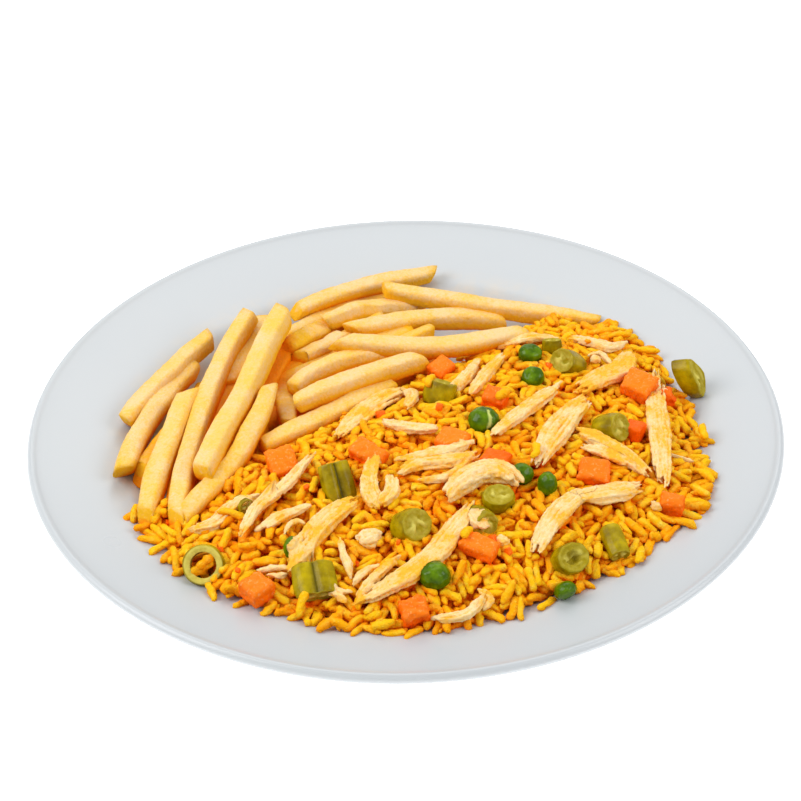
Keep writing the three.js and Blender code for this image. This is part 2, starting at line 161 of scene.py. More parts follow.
def spread(field, low, high, to_low=0.0, to_high=1.0):
    """Stretches a field's range from low and high to the two new ends, and cuts it off there."""
    return field.node("ShaderNodeMapRange", {"clamp": True}, {
        "Value": field, "From Min": low, "From Max": high, "To Min": to_low, "To Max": to_high})


def tinted(amount, colour, other):
    """One colour where amount is 0 and the other where it is 1."""
    return amount.node("ShaderNodeMix", {"data_type": "RGBA"}, {0: amount, 6: colour, 7: other}, 2)


def relief(height, depth, normal=None):
    """A bump: depth is in metres where the height goes from 0 to 1."""
    links = {"Height": height, "Distance": depth, "Strength": 1.0}
    if normal is not None:
        links["Normal"] = normal
    return height.node("ShaderNodeBump", {}, links)


white_floor, start = new_finish("white_floor", {"Roughness": 0.9})
grain = speckle(place_on_piece(start), 400)
feed(white_floor, "Base Color", tinted(spread(grain, 0.3, 0.7), FLOOR_WHITE, FLOOR_PALE))
floor_shader = white_floor.node_tree.nodes["Principled BSDF"]
floor_shader.inputs["Emission Color"].default_value = (1, 1, 1, 1)
floor_shader.inputs["Emission Strength"].default_value = FLOOR_GLOW

floor_mesh = bpy.data.meshes.new("floor")
floor_mesh.from_pydata(
    [(-FLOOR_HALF, -FLOOR_HALF, 0), (FLOOR_HALF, -FLOOR_HALF, 0),
     (FLOOR_HALF, FLOOR_HALF, 0), (-FLOOR_HALF, FLOOR_HALF, 0)], [], [(0, 1, 2, 3)])
floor_mesh.materials.append(white_floor)
floor = bpy.data.objects.new("floor", floor_mesh)
bpy.context.scene.collection.objects.link(floor)

# The plate: white glazed stoneware, turned and fired, with a flat well, a wall up to the
# shoulder, a rim that goes on rising to a rounded lip, and a foot ring. Lengths from here on
# are in millimetres, and become metres when a mesh is made.
MM = 0.001
PLATE_RADIUS = 127
PLATE_THICKNESS = 4.5
WELL_RADIUS = 80
WELL_HEIGHT = 6.5
SHOULDER_RADIUS = 98
SHOULDER_HEIGHT = 15.5
RIM_RADIUS = 123
RIM_SLOPE = 0.25
LIP_HEIGHT = 22.8
FOOT_INNER_RADIUS = 62
FOOT_OUTER_RADIUS = 70
FOOT_RECESS = 2
UNDERSIDE_RADII = (86, 92, SHOULDER_RADIUS + 2, 112, RIM_RADIUS)
TOP_RADII = (RIM_RADIUS, 112, SHOULDER_RADIUS + 1, 94, 89, 84, WELL_RADIUS - 1)
FLAT_RADIUS = 40
OUTLINE_ROUNDS = 3
PLATE_SEGMENTS = 160
GLAZE_WHITE = (0.525, 0.553, 0.570, 1)
GLAZE_SHADE = (0.506, 0.536, 0.558, 1)
# The colour and strength of the painted bounce light from the food on the glaze.
FOOD_BOUNCE_TINT = (0.80, 0.60, 0.36, 1)
FOOD_BOUNCE_STRENGTH = 0.35


def smooth_step(value, low, high):
    """From 0 at low to 1 at high, level at both ends."""
    part = np.clip((value - low) / (high - low), 0, 1)
    return part * part * (3 - 2 * part)


def plate_top(radius):
    """The height of the plate's upper face."""
    wall = smooth_step(radius, WELL_RADIUS, SHOULDER_RADIUS)
    rim = np.clip(np.minimum(radius, RIM_RADIUS) - SHOULDER_RADIUS, 0, None)
    return WELL_HEIGHT + (SHOULDER_HEIGHT - WELL_HEIGHT) * wall + RIM_SLOPE * rim


def rounded(outline, rounds):
    """Cuts an open outline's corners again and again until it is a smooth curve."""
    points = np.array(outline, float)
    for _ in range(rounds):
        near = points[:-1] * 0.75 + points[1:] * 0.25
        far = points[:-1] * 0.25 + points[1:] * 0.75
        cut = np.stack([near, far], 1).reshape(-1, 2)
        points = np.vstack([points[:1], cut[1:-1], points[-1:]])
    return points


def new_piece(name, points, faces, finish, fields=None):
    """A smooth mesh from points in millimetres, with its finish and any fields of values."""
    mesh = bpy.data.meshes.new(name)
    mesh.from_pydata((np.asarray(points) * MM).tolist(), [], faces)
    mesh.materials.append(finish)
    mesh.shade_smooth()
    for field, values in (fields or {}).items():
        mesh.attributes.new(field, "FLOAT", "POINT").data.foreach_set("value", np.asarray(values, "f"))
    piece = bpy.data.objects.new(name, mesh)
    bpy.context.scene.collection.objects.link(piece)
    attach(piece, "root")
    return piece


def stitched(rings, columns, first=0):
    """The four-cornered faces between rings of points, each ring with as many points."""
    return [
        (first + ring * columns + column, first + ring * columns + (column + 1) % columns,
         first + (ring + 1) * columns + (column + 1) % columns, first + (ring + 1) * columns + column)
        for ring in range(rings - 1) for column in range(columns)]


white_glaze, start = new_finish("white_glaze", {"IOR": 1.5})
place = place_on_piece(start)
shade = tinted(spread(speckle(place, 14, 1.0), 0.1, 0.9), GLAZE_WHITE, GLAZE_SHADE)
from_middle = place.node("ShaderNodeVectorMath", {"operation": "LENGTH"}, {0: place}, "Value")
# Painted bounce light: the well and the wall under and by the food are tinted orange in patches.
bounce_by_the_food = spread(from_middle, 0.092, 0.104, 1.0, 0.0) * spread(speckle(place, 160), 0.4, 0.7)
feed(white_glaze, "Base Color", tinted(bounce_by_the_food * FOOD_BOUNCE_STRENGTH, shade, FOOD_BOUNCE_TINT))
feed(white_glaze, "Roughness", spread(speckle(place, 30, 1.0), 0.1, 0.9, 0.27, 0.31))

plate_outline = rounded([
    (0, FOOT_RECESS),
    (FOOT_INNER_RADIUS - 1, FOOT_RECESS),
    (FOOT_INNER_RADIUS, 0),
    (FOOT_INNER_RADIUS + 1, 0),
    (FOOT_OUTER_RADIUS - 1, 0),
    (FOOT_OUTER_RADIUS, 0),
    (FOOT_OUTER_RADIUS + 2, FOOT_RECESS),
    *((radius, plate_top(radius) - PLATE_THICKNESS) for radius in UNDERSIDE_RADII),
    (PLATE_RADIUS - 1, LIP_HEIGHT - 3.6),
    (PLATE_RADIUS, LIP_HEIGHT - 2),
    (PLATE_RADIUS, LIP_HEIGHT - 1),
    (PLATE_RADIUS - 1, LIP_HEIGHT),
    (PLATE_RADIUS - 2, LIP_HEIGHT),
    *((radius, plate_top(radius)) for radius in TOP_RADII),
    (FLAT_RADIUS, WELL_HEIGHT),
    (0, WELL_HEIGHT),
], OUTLINE_ROUNDS)[1:-1]
turns = np.linspace(0, 2 * np.pi, PLATE_SEGMENTS, endpoint=False)
plate_points = [(0, 0, FOOT_RECESS)]
for radius, height in plate_outline:
    plate_points.extend((radius * math.cos(turn), radius * math.sin(turn), height) for turn in turns)
plate_points.append((0, 0, WELL_HEIGHT))
plate_faces = stitched(len(plate_outline), PLATE_SEGMENTS, first=1)
last_ring = 1 + (len(plate_outline) - 1) * PLATE_SEGMENTS
for column in range(PLATE_SEGMENTS):
    beside = (column + 1) % PLATE_SEGMENTS
    plate_faces.append((0, 1 + beside, 1 + column))
    plate_faces.append((last_ring + column, last_ring + beside, len(plate_points) - 1))
plate = new_piece("glazed_plate", plate_points, plate_faces, white_glaze)
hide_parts("plate")

# The rice: medium grains boiled with annatto or turmeric until they are plump and yellow. They
# lie loosely heaped over a core of the same rice, and stick to each other and to the toppings.
MOUND_MIDDLE = (16, -20)
MOUND_TOP = 29.5
MOUND_SHOULDER = 17
MOUND_FOOT = 1.6
MOUND_ROUNDNESS = 2.2
HEEL = 0.07

# How far the rice goes from the plate's middle. Each lobe is a direction in degrees in which it
# goes further or less far, how much, and how wide the lobe is. The line is where the rice meets
# the fries.
RICE_REACH = 98.5
RICE_LOBES = ((-92, 4, 6), (-26, 6, 11), (13, -3, 8), (46, -9, 6))
RICE_LINE_START = (-88, -38)
RICE_LINE_END = (62, 72)

# The grains: their size and how it varies, how many are broken, stuck to the one before or
# standing up, how they bend, and the few that lie beside the heap.
GRAIN_LENGTH = 9.4
GRAIN_WIDTH = 2.65
GRAIN_SIDES = 7
GRAIN_RINGS = 6
GRAIN_COUNT = 2300
GRAIN_SIZES = (0.7, 1.12)
GRAIN_WIDTHS = (0.88, 1.14)
GRAIN_FLATNESS = (0.78, 0.95)
BROKEN_SHARE = 0.12
BROKEN_LENGTH = 0.6
STUCK_SHARE = 0.35
STANDING_SLOPE = 0.45
SLOPE_CARE = 1.2
SINKS_IN = (0.2, 0.8)
BLUNTNESS = (2.4, 6.5)
LUMPINESS = 0.17
BEND = 0.07
SAG = (-0.02, 0.05)
STRAYS = 14
STRAYS_RIGHT_OF = -70
STRAYS_NEARER_THAN = 50
STRAYS_WITHIN = 2.5

# The points of a grain's underside that feel for the ground, as shares of its half length and
# half width, how round it is there, and the slopes that it can lie at. It rests on the point
# that is GRAIN_GIVE from the highest, since boiled grains give way.
FEEL_ALONG, FEEL_ACROSS = [grid.ravel() for grid in np.meshgrid(
    np.linspace(-0.92, 0.92, 7), np.array([-0.6, 0, 0.6]), indexing="ij")]
FEEL_BELLY = np.sqrt(np.clip(1 - FEEL_ALONG ** 2 - 0.6 * FEEL_ACROSS ** 2, 0.02, 1))
SLOPES = np.linspace(-0.75, 0.75, 9)
GRAIN_GIVE = 4

# The heap: how deep its loose grains go, how far one may stand over the mound, how much of one
# may be under a topping, its low lumps, the cells of its surface, and where it is in shadow.
LAYER_DEPTH = 3.4
HIGHEST_OVER = 2.2
BLOCKED_SHARE = 0.2
LUMP_SIZE = 11
LUMP_HEIGHT = 2.0
LUMP_CELLS = 4
HEAP_TRIES = 7
CELL = 0.5
HALF_CELLS = 216
GAP_DEPTH = 5.0
SHADOW_RISE = 3.2
GRAIN_RELIEF = 0.0009
# The rice's colours: its yellow, its pale spots, RICE_ORANGE for its own orange tone and for the painted
# shade on the grains' lower sides, and two colours of painted shade for the gaps between grains.
RICE_YELLOW = (1.0, 0.56, 0.006, 1)
RICE_PALE = (1.0, 0.72, 0.10, 1)
RICE_ORANGE = (1.0, 0.33, 0.0, 1)
RICE_GAP_SHADE = (1.0, 0.19, 0.0, 1)
RICE_DEEP_GAP_SHADE = (0.96, 0.08, 0.0, 1)

# Each grain that lies loose on top or beside the heap: where it is, and its turn in degrees.
LOOSE_GRAINS = (
    (32.8, -3.2, 44), (8.7, 5.5, 67), (-55.6, -53.4, -14), (-29.8, -42.4, 80), (-33.5, -45.1, 61),
    (-32.8, -91.4, 66), (-50.2, -66.5, 11), (-57.7, -61.0, 71), (-44.8, -73.1, -4), (-52.8, -74.6, 62),
    (41.5, -33.8, -101), (77.1, -2.8, 121), (53.4, -37.8, 106), (18.1, -70.2, 60), (50.0, -67.3, 42),
    (98.9, -28.2, -44), (99.6, -9.5, 92), (70.7, 49.9, 11), (86.3, 40.2, -10), (94.6, -40.1, -59),
    (-21.3, -98.4, -15), (-8.5, -99.9, 10), (12.8, -89.4, -27), (30.4, -88.5, 61),
)

# The grains inside the ring of bean: where they are, turn, slope, length, width, thickness.
RING_GRAINS = (
    (-64.5, -72.6, 20.4, 0.25, 0.25, 8.6, 3.2, 2.8),
    (-63.2, -72.2, 22.8, 0.9, 0.1, 7.4, 2.8, 2.5),
    (-66.0, -71.6, 18.6, -0.4, 0.3, 6.5, 2.8, 2.5),
)


def mound_edge(east, north):
    """The way from the mound's middle to its edge, towards a direction of length 1."""
    x, y = MOUND_MIDDLE
    towards = x * east + y * north
    reach = np.full(np.shape(east), float(RICE_REACH))
    for _ in range(4):
        distance = -towards + np.sqrt(towards ** 2 - (x * x + y * y) + reach ** 2)
        degrees = np.degrees(np.arctan2(y + north * distance, x + east * distance))
        lobes = [out * np.exp(-((degrees - at) / wide) ** 2) for at, out, wide in RICE_LOBES]
        reach = RICE_REACH + sum(lobes)
    along = np.subtract(RICE_LINE_END, RICE_LINE_START)
    facing = np.array([-along[1], along[0]]) / np.hypot(*along)
    room_left = np.subtract(RICE_LINE_START, MOUND_MIDDLE) @ facing
    speed = np.maximum(east * facing[0] + north * facing[1], 1e-6)
    return np.minimum(distance, room_left / speed)


def mound_top(x, y):
    """The mound's height over places on the plate."""
    across, up = x - MOUND_MIDDLE[0], y - MOUND_MIDDLE[1]
    distance = np.maximum(np.hypot(across, up), 1e-6)
    inward = 1 - distance / mound_edge(across / distance, up / distance)
    bare = plate_top(np.hypot(x, y))
    swell = 1 - np.abs(1 - np.clip(inward, 0, 1)) ** MOUND_ROUNDNESS
    mound = MOUND_SHOULDER + (MOUND_TOP - MOUND_SHOULDER) * swell
    heel = smooth_step(inward, 0, HEEL)
    return np.where(inward > 0, (bare + MOUND_FOOT) * (1 - heel) + mound * heel, bare)


def cell_of(value):
    """The number of the cell, along one axis of the plate, that holds a place."""
    return np.clip((np.asarray(value) / CELL + HALF_CELLS).astype(int), 0, 2 * HALF_CELLS - 1)


def skyline(nodes):
    """The top of the highest thing over each cell of the plate, and the underside of the lowest."""
    cover = np.full((2 * HALF_CELLS, 2 * HALF_CELLS), -1.0)
    roof = np.full((2 * HALF_CELLS, 2 * HALF_CELLS), 99.0)
    for node in nodes:
        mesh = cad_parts[node].data
        corners = np.empty(len(mesh.vertices) * 3)
        mesh.vertices.foreach_get("co", corners)
        corners = corners.reshape(-1, 3) / MM
        mesh.calc_loop_triangles()
        for triangle in mesh.loop_triangles:
            a, b, c = corners[list(triangle.vertices)]
            area = (b[0] - a[0]) * (c[1] - a[1]) - (c[0] - a[0]) * (b[1] - a[1])
            if abs(area) < 1e-6:
                continue
            low = cell_of(np.minimum(np.minimum(a, b), c))[:2]
            high = cell_of(np.maximum(np.maximum(a, b), c))[:2] + 1
            x, y = np.meshgrid(
                (np.arange(low[0], high[0]) + 0.5 - HALF_CELLS) * CELL,
                (np.arange(low[1], high[1]) + 0.5 - HALF_CELLS) * CELL, indexing="ij")
            to_b = ((x - a[0]) * (c[1] - a[1]) - (c[0] - a[0]) * (y - a[1])) / area
            to_c = ((b[0] - a[0]) * (y - a[1]) - (x - a[0]) * (b[1] - a[1])) / area
            height = a[2] + to_b * (b[2] - a[2]) + to_c * (c[2] - a[2])
            inside = (to_b >= 0) & (to_c >= 0) & (to_b + to_c <= 1)
            window = (slice(low[0], high[0]), slice(low[1], high[1]))
            cover[window] = np.where(inside, np.maximum(cover[window], height), cover[window])
            roof[window] = np.where(inside, np.minimum(roof[window], height), roof[window])
    return cover, roof


def mean_around(heights, reach):
    """The mean of a field of heights round each cell, with a bell-shaped weight."""
    waves = np.fft.fftfreq(len(heights), CELL)
    kept = np.exp(-2 * (np.pi * reach * waves) ** 2)
    return np.real(np.fft.ifft2(np.fft.fft2(heights) * kept[:, None] * kept[None, :]))


# How low points lie between what is around them, which the finishes turn into painted shade.
def gap_shade(points, around, least, most):
    """From 0 to 1 as points lie from high over what is around them to low between it."""
    points = np.asarray(points)
    below = around[cell_of(points[:, 0]), cell_of(points[:, 1])] - points[:, 2]
    return np.clip((below - least) / (most - least), 0, 1)


def broad_lumps():
    """Low, broad lumps over the whole plate, as a field from about -0.5 to 0.5."""
    coarse = [cell * CELL / LUMP_SIZE for cell in range(0, 2 * HALF_CELLS, LUMP_CELLS)]
    rows = [[noise.noise((x, y, 0)) for y in coarse] for x in coarse]
    return np.array(rows).repeat(LUMP_CELLS, 0).repeat(LUMP_CELLS, 1)


def places_to_try(where, grounds, grains, on_mound, random):
    """The cells and turns at which the next grain may lie. Some grains stick beside the last."""
    if where not in grounds:
        return [(cell_of(where[:2]), math.radians(where[2]))]
    cells = grounds[where]
    spots = cells[random.integers(0, len(cells), HEAP_TRIES if where == "heap" else 1)]
    tries = [(cell, random.uniform(0, np.pi)) for cell in spots]
    if where == "heap" and grains and random.random() < STUCK_SHARE:
        x, y, _, turn, _, length, width, _ = grains[-1]
        beside = random.choice([-0.85, 0.85]) * width
        past = random.uniform(-0.3, 0.3) * length
        spot = x - math.sin(turn) * beside, y + math.cos(turn) * beside + past
        if on_mound[tuple(cell_of(spot))]:
            return [(cell_of(spot), turn + random.normal(0, 0.12))]
    return tries


def cells_below(middle, turn, length, width):
    """The cells under the feeling points of a grain that lies there."""
    run = np.array([math.cos(turn), math.sin(turn)])
    places = middle[:, None] + run[:, None] * FEEL_ALONG * length / 2
    places = places + run[::-1, None] * [[-1], [1]] * FEEL_ACROSS * width / 2
    return cell_of(places[0]), cell_of(places[1])


def add_to_surface(surface, x, y, grain):
    """Raises the heap's surface where a grain has come to rest."""
    east, north, height, turn, slope, length, width, thick = grain
    reach = int(length / 2 / CELL) + 2
    i, j = cell_of(east), cell_of(north)
    window = (slice(max(i - reach, 0), i + reach + 1), slice(max(j - reach, 0), j + reach + 1))
    right, up = x[window] - east, y[window] - north
    on_length = right * math.cos(turn) + up * math.sin(turn)
    on_width = up * math.cos(turn) - right * math.sin(turn)
    inside = 1 - (on_length * 2 / length) ** 2 - (on_width * 2 / width) ** 2
    top = height + slope * on_length + thick / 2 * np.sqrt(np.clip(inside, 0, 1))
    surface[window] = np.where(inside > 0, np.maximum(surface[window], top), surface[window])


def heap_of_grains(random):
    """Drops grains one by one where they come to rest lowest, until the mound is covered."""
    side = (np.arange(2 * HALF_CELLS) + 0.5 - HALF_CELLS) * CELL
    x, y = np.meshgrid(side, side, indexing="ij")
    goal = mound_top(x, y)
    bare = plate_top(np.hypot(x, y))
    on_mound = goal > bare + 0.01
    near_mound = mean_around(on_mound.astype(float), STRAYS_WITHIN) > 0.06
    surface = np.where(on_mound, np.maximum(goal - LAYER_DEPTH, bare), bare)
    goal = goal + LUMP_HEIGHT * broad_lumps()
    beside_rice = ["fries", "bean_11"]
    left_out = ("plate", "rice", *beside_rice)
    toppings, roof = skyline([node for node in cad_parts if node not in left_out])
    fries_top, fries_under = skyline(beside_rice)
    toppings, roof = np.maximum(toppings, fries_top), np.minimum(roof, fries_under)
    grounds = {
        "heap": np.argwhere(on_mound),
        "stray": np.argwhere(near_mound & ~on_mound & (fries_top < 0)
                             & (x > STRAYS_RIGHT_OF) & (y < STRAYS_NEARER_THAN)),
    }
    grains = []
    for where in ["heap"] * (GRAIN_COUNT * 3) + ["stray"] * STRAYS + [*LOOSE_GRAINS]:
        if where == "heap" and len(grains) >= GRAIN_COUNT:
            continue
        length = GRAIN_LENGTH * random.uniform(*GRAIN_SIZES)
        length *= BROKEN_LENGTH if random.random() < BROKEN_SHARE else 1
        width = GRAIN_WIDTH * random.uniform(*GRAIN_WIDTHS)
        thick = width * random.uniform(*GRAIN_FLATNESS)
        best = None
        for spot, turn in places_to_try(where, grounds, grains, on_mound, random):
            middle = (spot + 0.5 - HALF_CELLS) * CELL + random.uniform(-CELL / 2, CELL / 2, 2)
            i, j = cells_below(middle, turn, length, width)
            ground = surface[i, j]
            if where not in grounds:
                ground = np.maximum(ground, toppings[i, j])
            blocked = (toppings[i, j] > ground + 0.5) & (roof[i, j] < ground + 0.6 * thick)
            if blocked.mean() > BLOCKED_SHARE:
                continue
            lift = ground[None, :] + FEEL_BELLY * thick / 2 - SLOPES[:, None] * FEEL_ALONG * length / 2
            lift[:, blocked] = -1
            rests = np.partition(lift, -GRAIN_GIVE)[:, -GRAIN_GIVE]
            steep = random.normal(0, STANDING_SLOPE) if where == "heap" else 0
            pick = int(np.argmin(rests + SLOPE_CARE * np.abs(SLOPES - steep)))
            over = rests[pick] + thick / 2 - goal[spot[0], spot[1]]
            if best is None or over < best[0]:
                best = (over, middle, turn, SLOPES[pick], rests[pick])
        if best is None or (where == "heap" and best[0] > HIGHEST_OVER):
            continue
        _, middle, turn, slope, height = best
        height -= random.uniform(*SINKS_IN)
        grains.append((*middle, height, turn, slope, length, width, thick))
        add_to_surface(surface, x, y, grains[-1])
    return np.array([*grains, *RING_GRAINS]), surface, toppings


def grain_mesh(grains, random):
    """Points and faces of all the grains, plump and a little bent, and the painted shade on each point's
    lower side.
    """
    count = len(grains)
    x, y, z, turn, slope, length, width, thick = grains.T[:, :, None, None]
    along = np.sin(np.linspace(-1, 1, GRAIN_RINGS + 2)[1:-1] * 1.36)[None, :, None]
    around = np.linspace(0, 2 * np.pi, GRAIN_SIDES, endpoint=False)[None, None, :]
    blunt = random.uniform(*BLUNTNESS, (count, 1, 1))
    side = np.sign(np.cos(around)) * np.abs(np.cos(around)) ** 0.75
    rise = np.sign(np.sin(around)) * np.abs(np.sin(around)) ** 0.75
    lopsided = 1 + random.uniform(-0.12, 0.12, (count, 1, 1)) * along
    plump = (1 - np.abs(along) ** blunt) ** 0.5 * lopsided
    lumpy = 1 + random.normal(0, LUMPINESS, (count, GRAIN_RINGS, GRAIN_SIDES))
    bend = random.normal(0, BEND, (count, 1, 1)) * length
    sag = random.uniform(*SAG, (count, 1, 1)) * length
    u = along * length / 2 + 0 * around
    v = side * width / 2 * plump * lumpy + bend * (along ** 2 - 0.4)
    w = rise * thick / 2 * plump * lumpy - sag * (along ** 2 - 0.4)
    tips = np.array([-1.0, 1.0])[None, :, None]
    u = np.concatenate([u.reshape(count, -1), (tips * length / 2).reshape(count, -1)], 1)
    v = np.concatenate([v.reshape(count, -1), (0.6 * bend + 0 * tips).reshape(count, -1)], 1)
    w = np.concatenate([w.reshape(count, -1), (-0.6 * sag + 0 * tips).reshape(count, -1)], 1)
    x, y, z, turn, slope = [value[:, :, 0] for value in (x, y, z, turn, slope)]
    level = 1 / np.sqrt(1 + slope ** 2)
    forward = level * u - level * slope * w
    points = np.stack([
        x + np.cos(turn) * forward - np.sin(turn) * v,
        y + np.sin(turn) * forward + np.cos(turn) * v,
        z + level * slope * u + level * w], 2)
    body = GRAIN_RINGS * GRAIN_SIDES
    one = stitched(GRAIN_RINGS, GRAIN_SIDES)
    for column in range(GRAIN_SIDES):
        beside = (column + 1) % GRAIN_SIDES
        one.append((body, beside, column))
        one.append((body - GRAIN_SIDES + column, body - GRAIN_SIDES + beside, body + 1))
    firsts = np.arange(count) * (body + 2)
    faces = [tuple(corner + int(first) for corner in face) for first in firsts for face in one]
    # The lower side of each grain gets painted shade, which turns it orange.
    below = np.tile(np.clip(0.5 - 0.65 * np.sin(around), 0, 1), (count, GRAIN_RINGS, 1))
    below = np.concatenate([below.reshape(count, body), np.full((count, 2), 0.4)], 1)
    return points.reshape(-1, 3), faces, below.ravel()


def value_of(start, name):
    """The values that a piece carries at its points under a name."""
    return start.node("ShaderNodeAttribute", {"attribute_name": name}, output="Fac")


yellow_rice, start = new_finish("yellow_rice", {"Specular IOR Level": 0.05})
place = place_on_piece(start)
each_grain = start.node("ShaderNodeNewGeometry", output="Random Per Island")
stain = speckle(place, 55, 2.0)
deep = spread(each_grain * 0.6 + stain * 0.6, 0.45, 1.0)
# Painted shade, orange to deep red, where the grains lie low between others.
painted_gap_shade = value_of(start, "gap_shade")
# Painted shade on each grain's lower side.
underside = value_of(start, "underside")
# Each grain's own orange tone and the painted shade on its lower side both turn it toward orange.
body_colour = tinted(spread(deep + underside * 1.1, 0.0, 1.0), RICE_YELLOW, RICE_ORANGE)
body_colour = tinted(spread(painted_gap_shade, 0.0, 0.6), body_colour, RICE_GAP_SHADE)
body_colour = tinted(spread(painted_gap_shade, 0.5, 1.0), body_colour, RICE_DEEP_GAP_SHADE)
# Pale spots on the tops of the grains, partly their own milky starch and partly painted highlight. They
# are kept out of the gaps and off the lower sides.
milky_and_highlight = spread(speckle(place, 420, 2.0), 0.5, 0.72) * spread(each_grain, 0.2, 0.0, 0.25, 0.85)
coarse = speckle(place, 900, 3.0, 0.65)
milky_and_highlight = (milky_and_highlight + spread(coarse, 0.55, 0.7, 0.0, 0.4)) * (1 - painted_gap_shade) * (1 - underside)
feed(yellow_rice, "Base Color", tinted(milky_and_highlight, body_colour, RICE_PALE))
feed(yellow_rice, "Roughness", spread(coarse, 0.3, 0.7, 0.35, 0.6))
feed(yellow_rice, "Normal", relief(coarse, GRAIN_RELIEF))

rice_random = np.random.default_rng(11)
grains, heap, toppings = heap_of_grains(rice_random)
grain_points, grain_faces, grain_underside_shade = grain_mesh(grains, rice_random)
side = np.arange(2 * HALF_CELLS) * CELL - HALF_CELLS * CELL
bare_plate = plate_top(np.hypot(side[:, None], side[None, :]))
landscape = np.maximum(np.maximum(heap, toppings), bare_plate)
# The heights round each cell, from which the painted shade in the gaps is found.
close_around = mean_around(np.minimum(landscape, np.maximum(heap, bare_plate) + SHADOW_RISE), 1.8)
wide_around = mean_around(landscape, 4.0)
rice = new_piece("rice_grains", grain_points, grain_faces, yellow_rice, {
    "gap_shade": gap_shade(grain_points, close_around, 0.0, GAP_DEPTH), "underside": grain_underside_shade})
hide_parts("rice")

# The core lies close under the loose grains, and ends inside their edge. It shows only at the
# bottom of the gaps between them, where it is drawn dark with painted shade.
CORE_RINGS = 44
CORE_COLUMNS = 150
CORE_REACH = 0.94
CORE_BELOW = 3.0
CORE_GAP_SHADE = 0.6
EDGE_GAP_SHADE = 0.3
EDGE_RINGS = 2
CORE_UNDERSIDE_SHADE = 0.4

core_points = []
for part in np.linspace(0, 1, CORE_RINGS):
    for turn in np.linspace(0, 2 * np.pi, CORE_COLUMNS, endpoint=False):
        reach = CORE_REACH * part * mound_edge(np.cos(turn), np.sin(turn))
        x, y = MOUND_MIDDLE[0] + reach * np.cos(turn), MOUND_MIDDLE[1] + reach * np.sin(turn)
        bump = 1.3 * noise.noise((x / 2.6, y / 2.6, 0)) + 0.6 * noise.noise((x / 1.2, y / 1.2, 4))
        base = plate_top(np.hypot(x, y)) + 0.2
        core_points.append((x, y, max(mound_top(x, y) - CORE_BELOW + bump, base) if part < 1 else base))
core_faces = [face[::-1] for face in stitched(CORE_RINGS, CORE_COLUMNS)]
core_shade = [CORE_GAP_SHADE] * (CORE_RINGS - EDGE_RINGS) + [EDGE_GAP_SHADE] * EDGE_RINGS
core = new_piece("rice_core", core_points, core_faces, yellow_rice, {
    "gap_shade": np.repeat(core_shade, CORE_COLUMNS),
    "underside": np.full(len(core_points), CORE_UNDERSIDE_SHADE)})
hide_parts("rice")

# The fries: sticks of potato cut square, fried pale gold, piled beside the rice. The crust is dry
# and finely grained, and browner along the edges and at the cut ends. Short dull ones lie below,
# drawn browner as painted shade. The sides that face down and the gaps between fries get painted
# amber shade.

# Each row is one fry, from the bottom of the pile to the top: where its middle line starts and
# ends, how far it bows to the left, how thick it is, and how much browner it is than others, which
# is partly its own crust and partly painted shade on the fries that lie low.
FRIES = (
    ((-88, -20, 16), (-73, 20, 15), 0, 7.2, 0.4),
    ((-75, -36, 17), (-72, 6, 15), 0, 7.2, 0.4),
    ((-63, -28, 17), (-53, 14, 15), 0, 7.2, 0.3),
    ((-68, -4, 18), (-57, 32, 18), 1, 7.4, 0.3),
    ((-49, 19, 20), (-40, 53, 19), -1, 7.2, 0.3),
    ((-61, 23, 21), (-51, 65, 19), -1, 7.4, 0.2),
    ((-45, 38, 14), (-15, 80, 12), 0, 7.4, 0.3),
    ((-41, 41, 23), (-28, 57, 21), 0, 7.2, 0.5),
    ((-36, 37, 22), (-21, 51, 21), -1, 6.2, 0.15),
    ((-42, 52, 20), (-4, 85, 14), 2, 6.4, 0.2),
    ((-38, 65, 23), (12, 94, 18.5), 3.5, 6.2, 0.15),
    ((-27, 56, 24), (7, 76, 16), 3.5, 6.8, 0),
    ((-18, 52, 23), (36, 66, 15.5), 4, 7, 0.1),
    ((-6, 76, 24), (70, 65, 15), -0.7, 6.3, 0.15),
    ((-95, 7, 19), (-69, 54, 19.5), 1, 7.2, 0.05),
    ((-93.5, -21, 19), (-75, 39, 17), 3, 7.3, 0.15),
    ((-84.5, -45.5, 19.2), (-73, 14, 25), 1, 7.5, 0.1),
    ((-39, 1, 20), (-43, 25, 18), 0, 7, 0.2),
    ((-47.5, -13, 22), (-5, 18, 23), -1, 7, 0.1),
    ((-38, 16, 24), (-4, 35, 24), 5, 6.9, 0),
    ((-22, 38, 28), (41, 43, 26), -6, 6.9, -0.05),
    ((-36, 2, 28), (6, 27, 27), 1, 7.4, 0.05),
    ((-74, -49, 20), (-55, 58, 27), 4, 7.3, 0.05),
    ((-72, -48, 20), (-46, 8, 29), -4, 7.3, 0.15),
    ((-66, -33, 27), (-42, 50, 32), 0, 8.3, -0.1),
)

# Where the fries lie that fill the pile's two arms below the ones that show.
PILE_ARMS = (
    {"middle": (-63, 4), "half": (38, 14), "turn": 79, "top": 16},
    {"middle": (-24, 30), "half": (46, 21), "turn": 33, "top": 18},
)

LOWEST_FRY = 11.5
LOWER_FRY_GAP = 8.2
LOWER_FRY_OVER_PLATE = 4.5
# The fries under the pile are drawn browner, as painted shade.
LOWER_FRY_SHADE = 0.4

FRY_SIDES = 28
FRY_STEPS = 46
SQUARENESS = (0.42, 0.58)
NARROWING = (0, 0.16)
SWAY = (0.5, 1.3)
ROUGHNESS = 0.045
ROLL = 12

# The rings that round off each end of a fry: their share of its full size, and how far each
# stands out past the first full ring.
END_SCALES = (0.0, 0.45, 0.8, 0.96)
END_PUSHES = (0.75, 0.7, 0.5, 0.2)

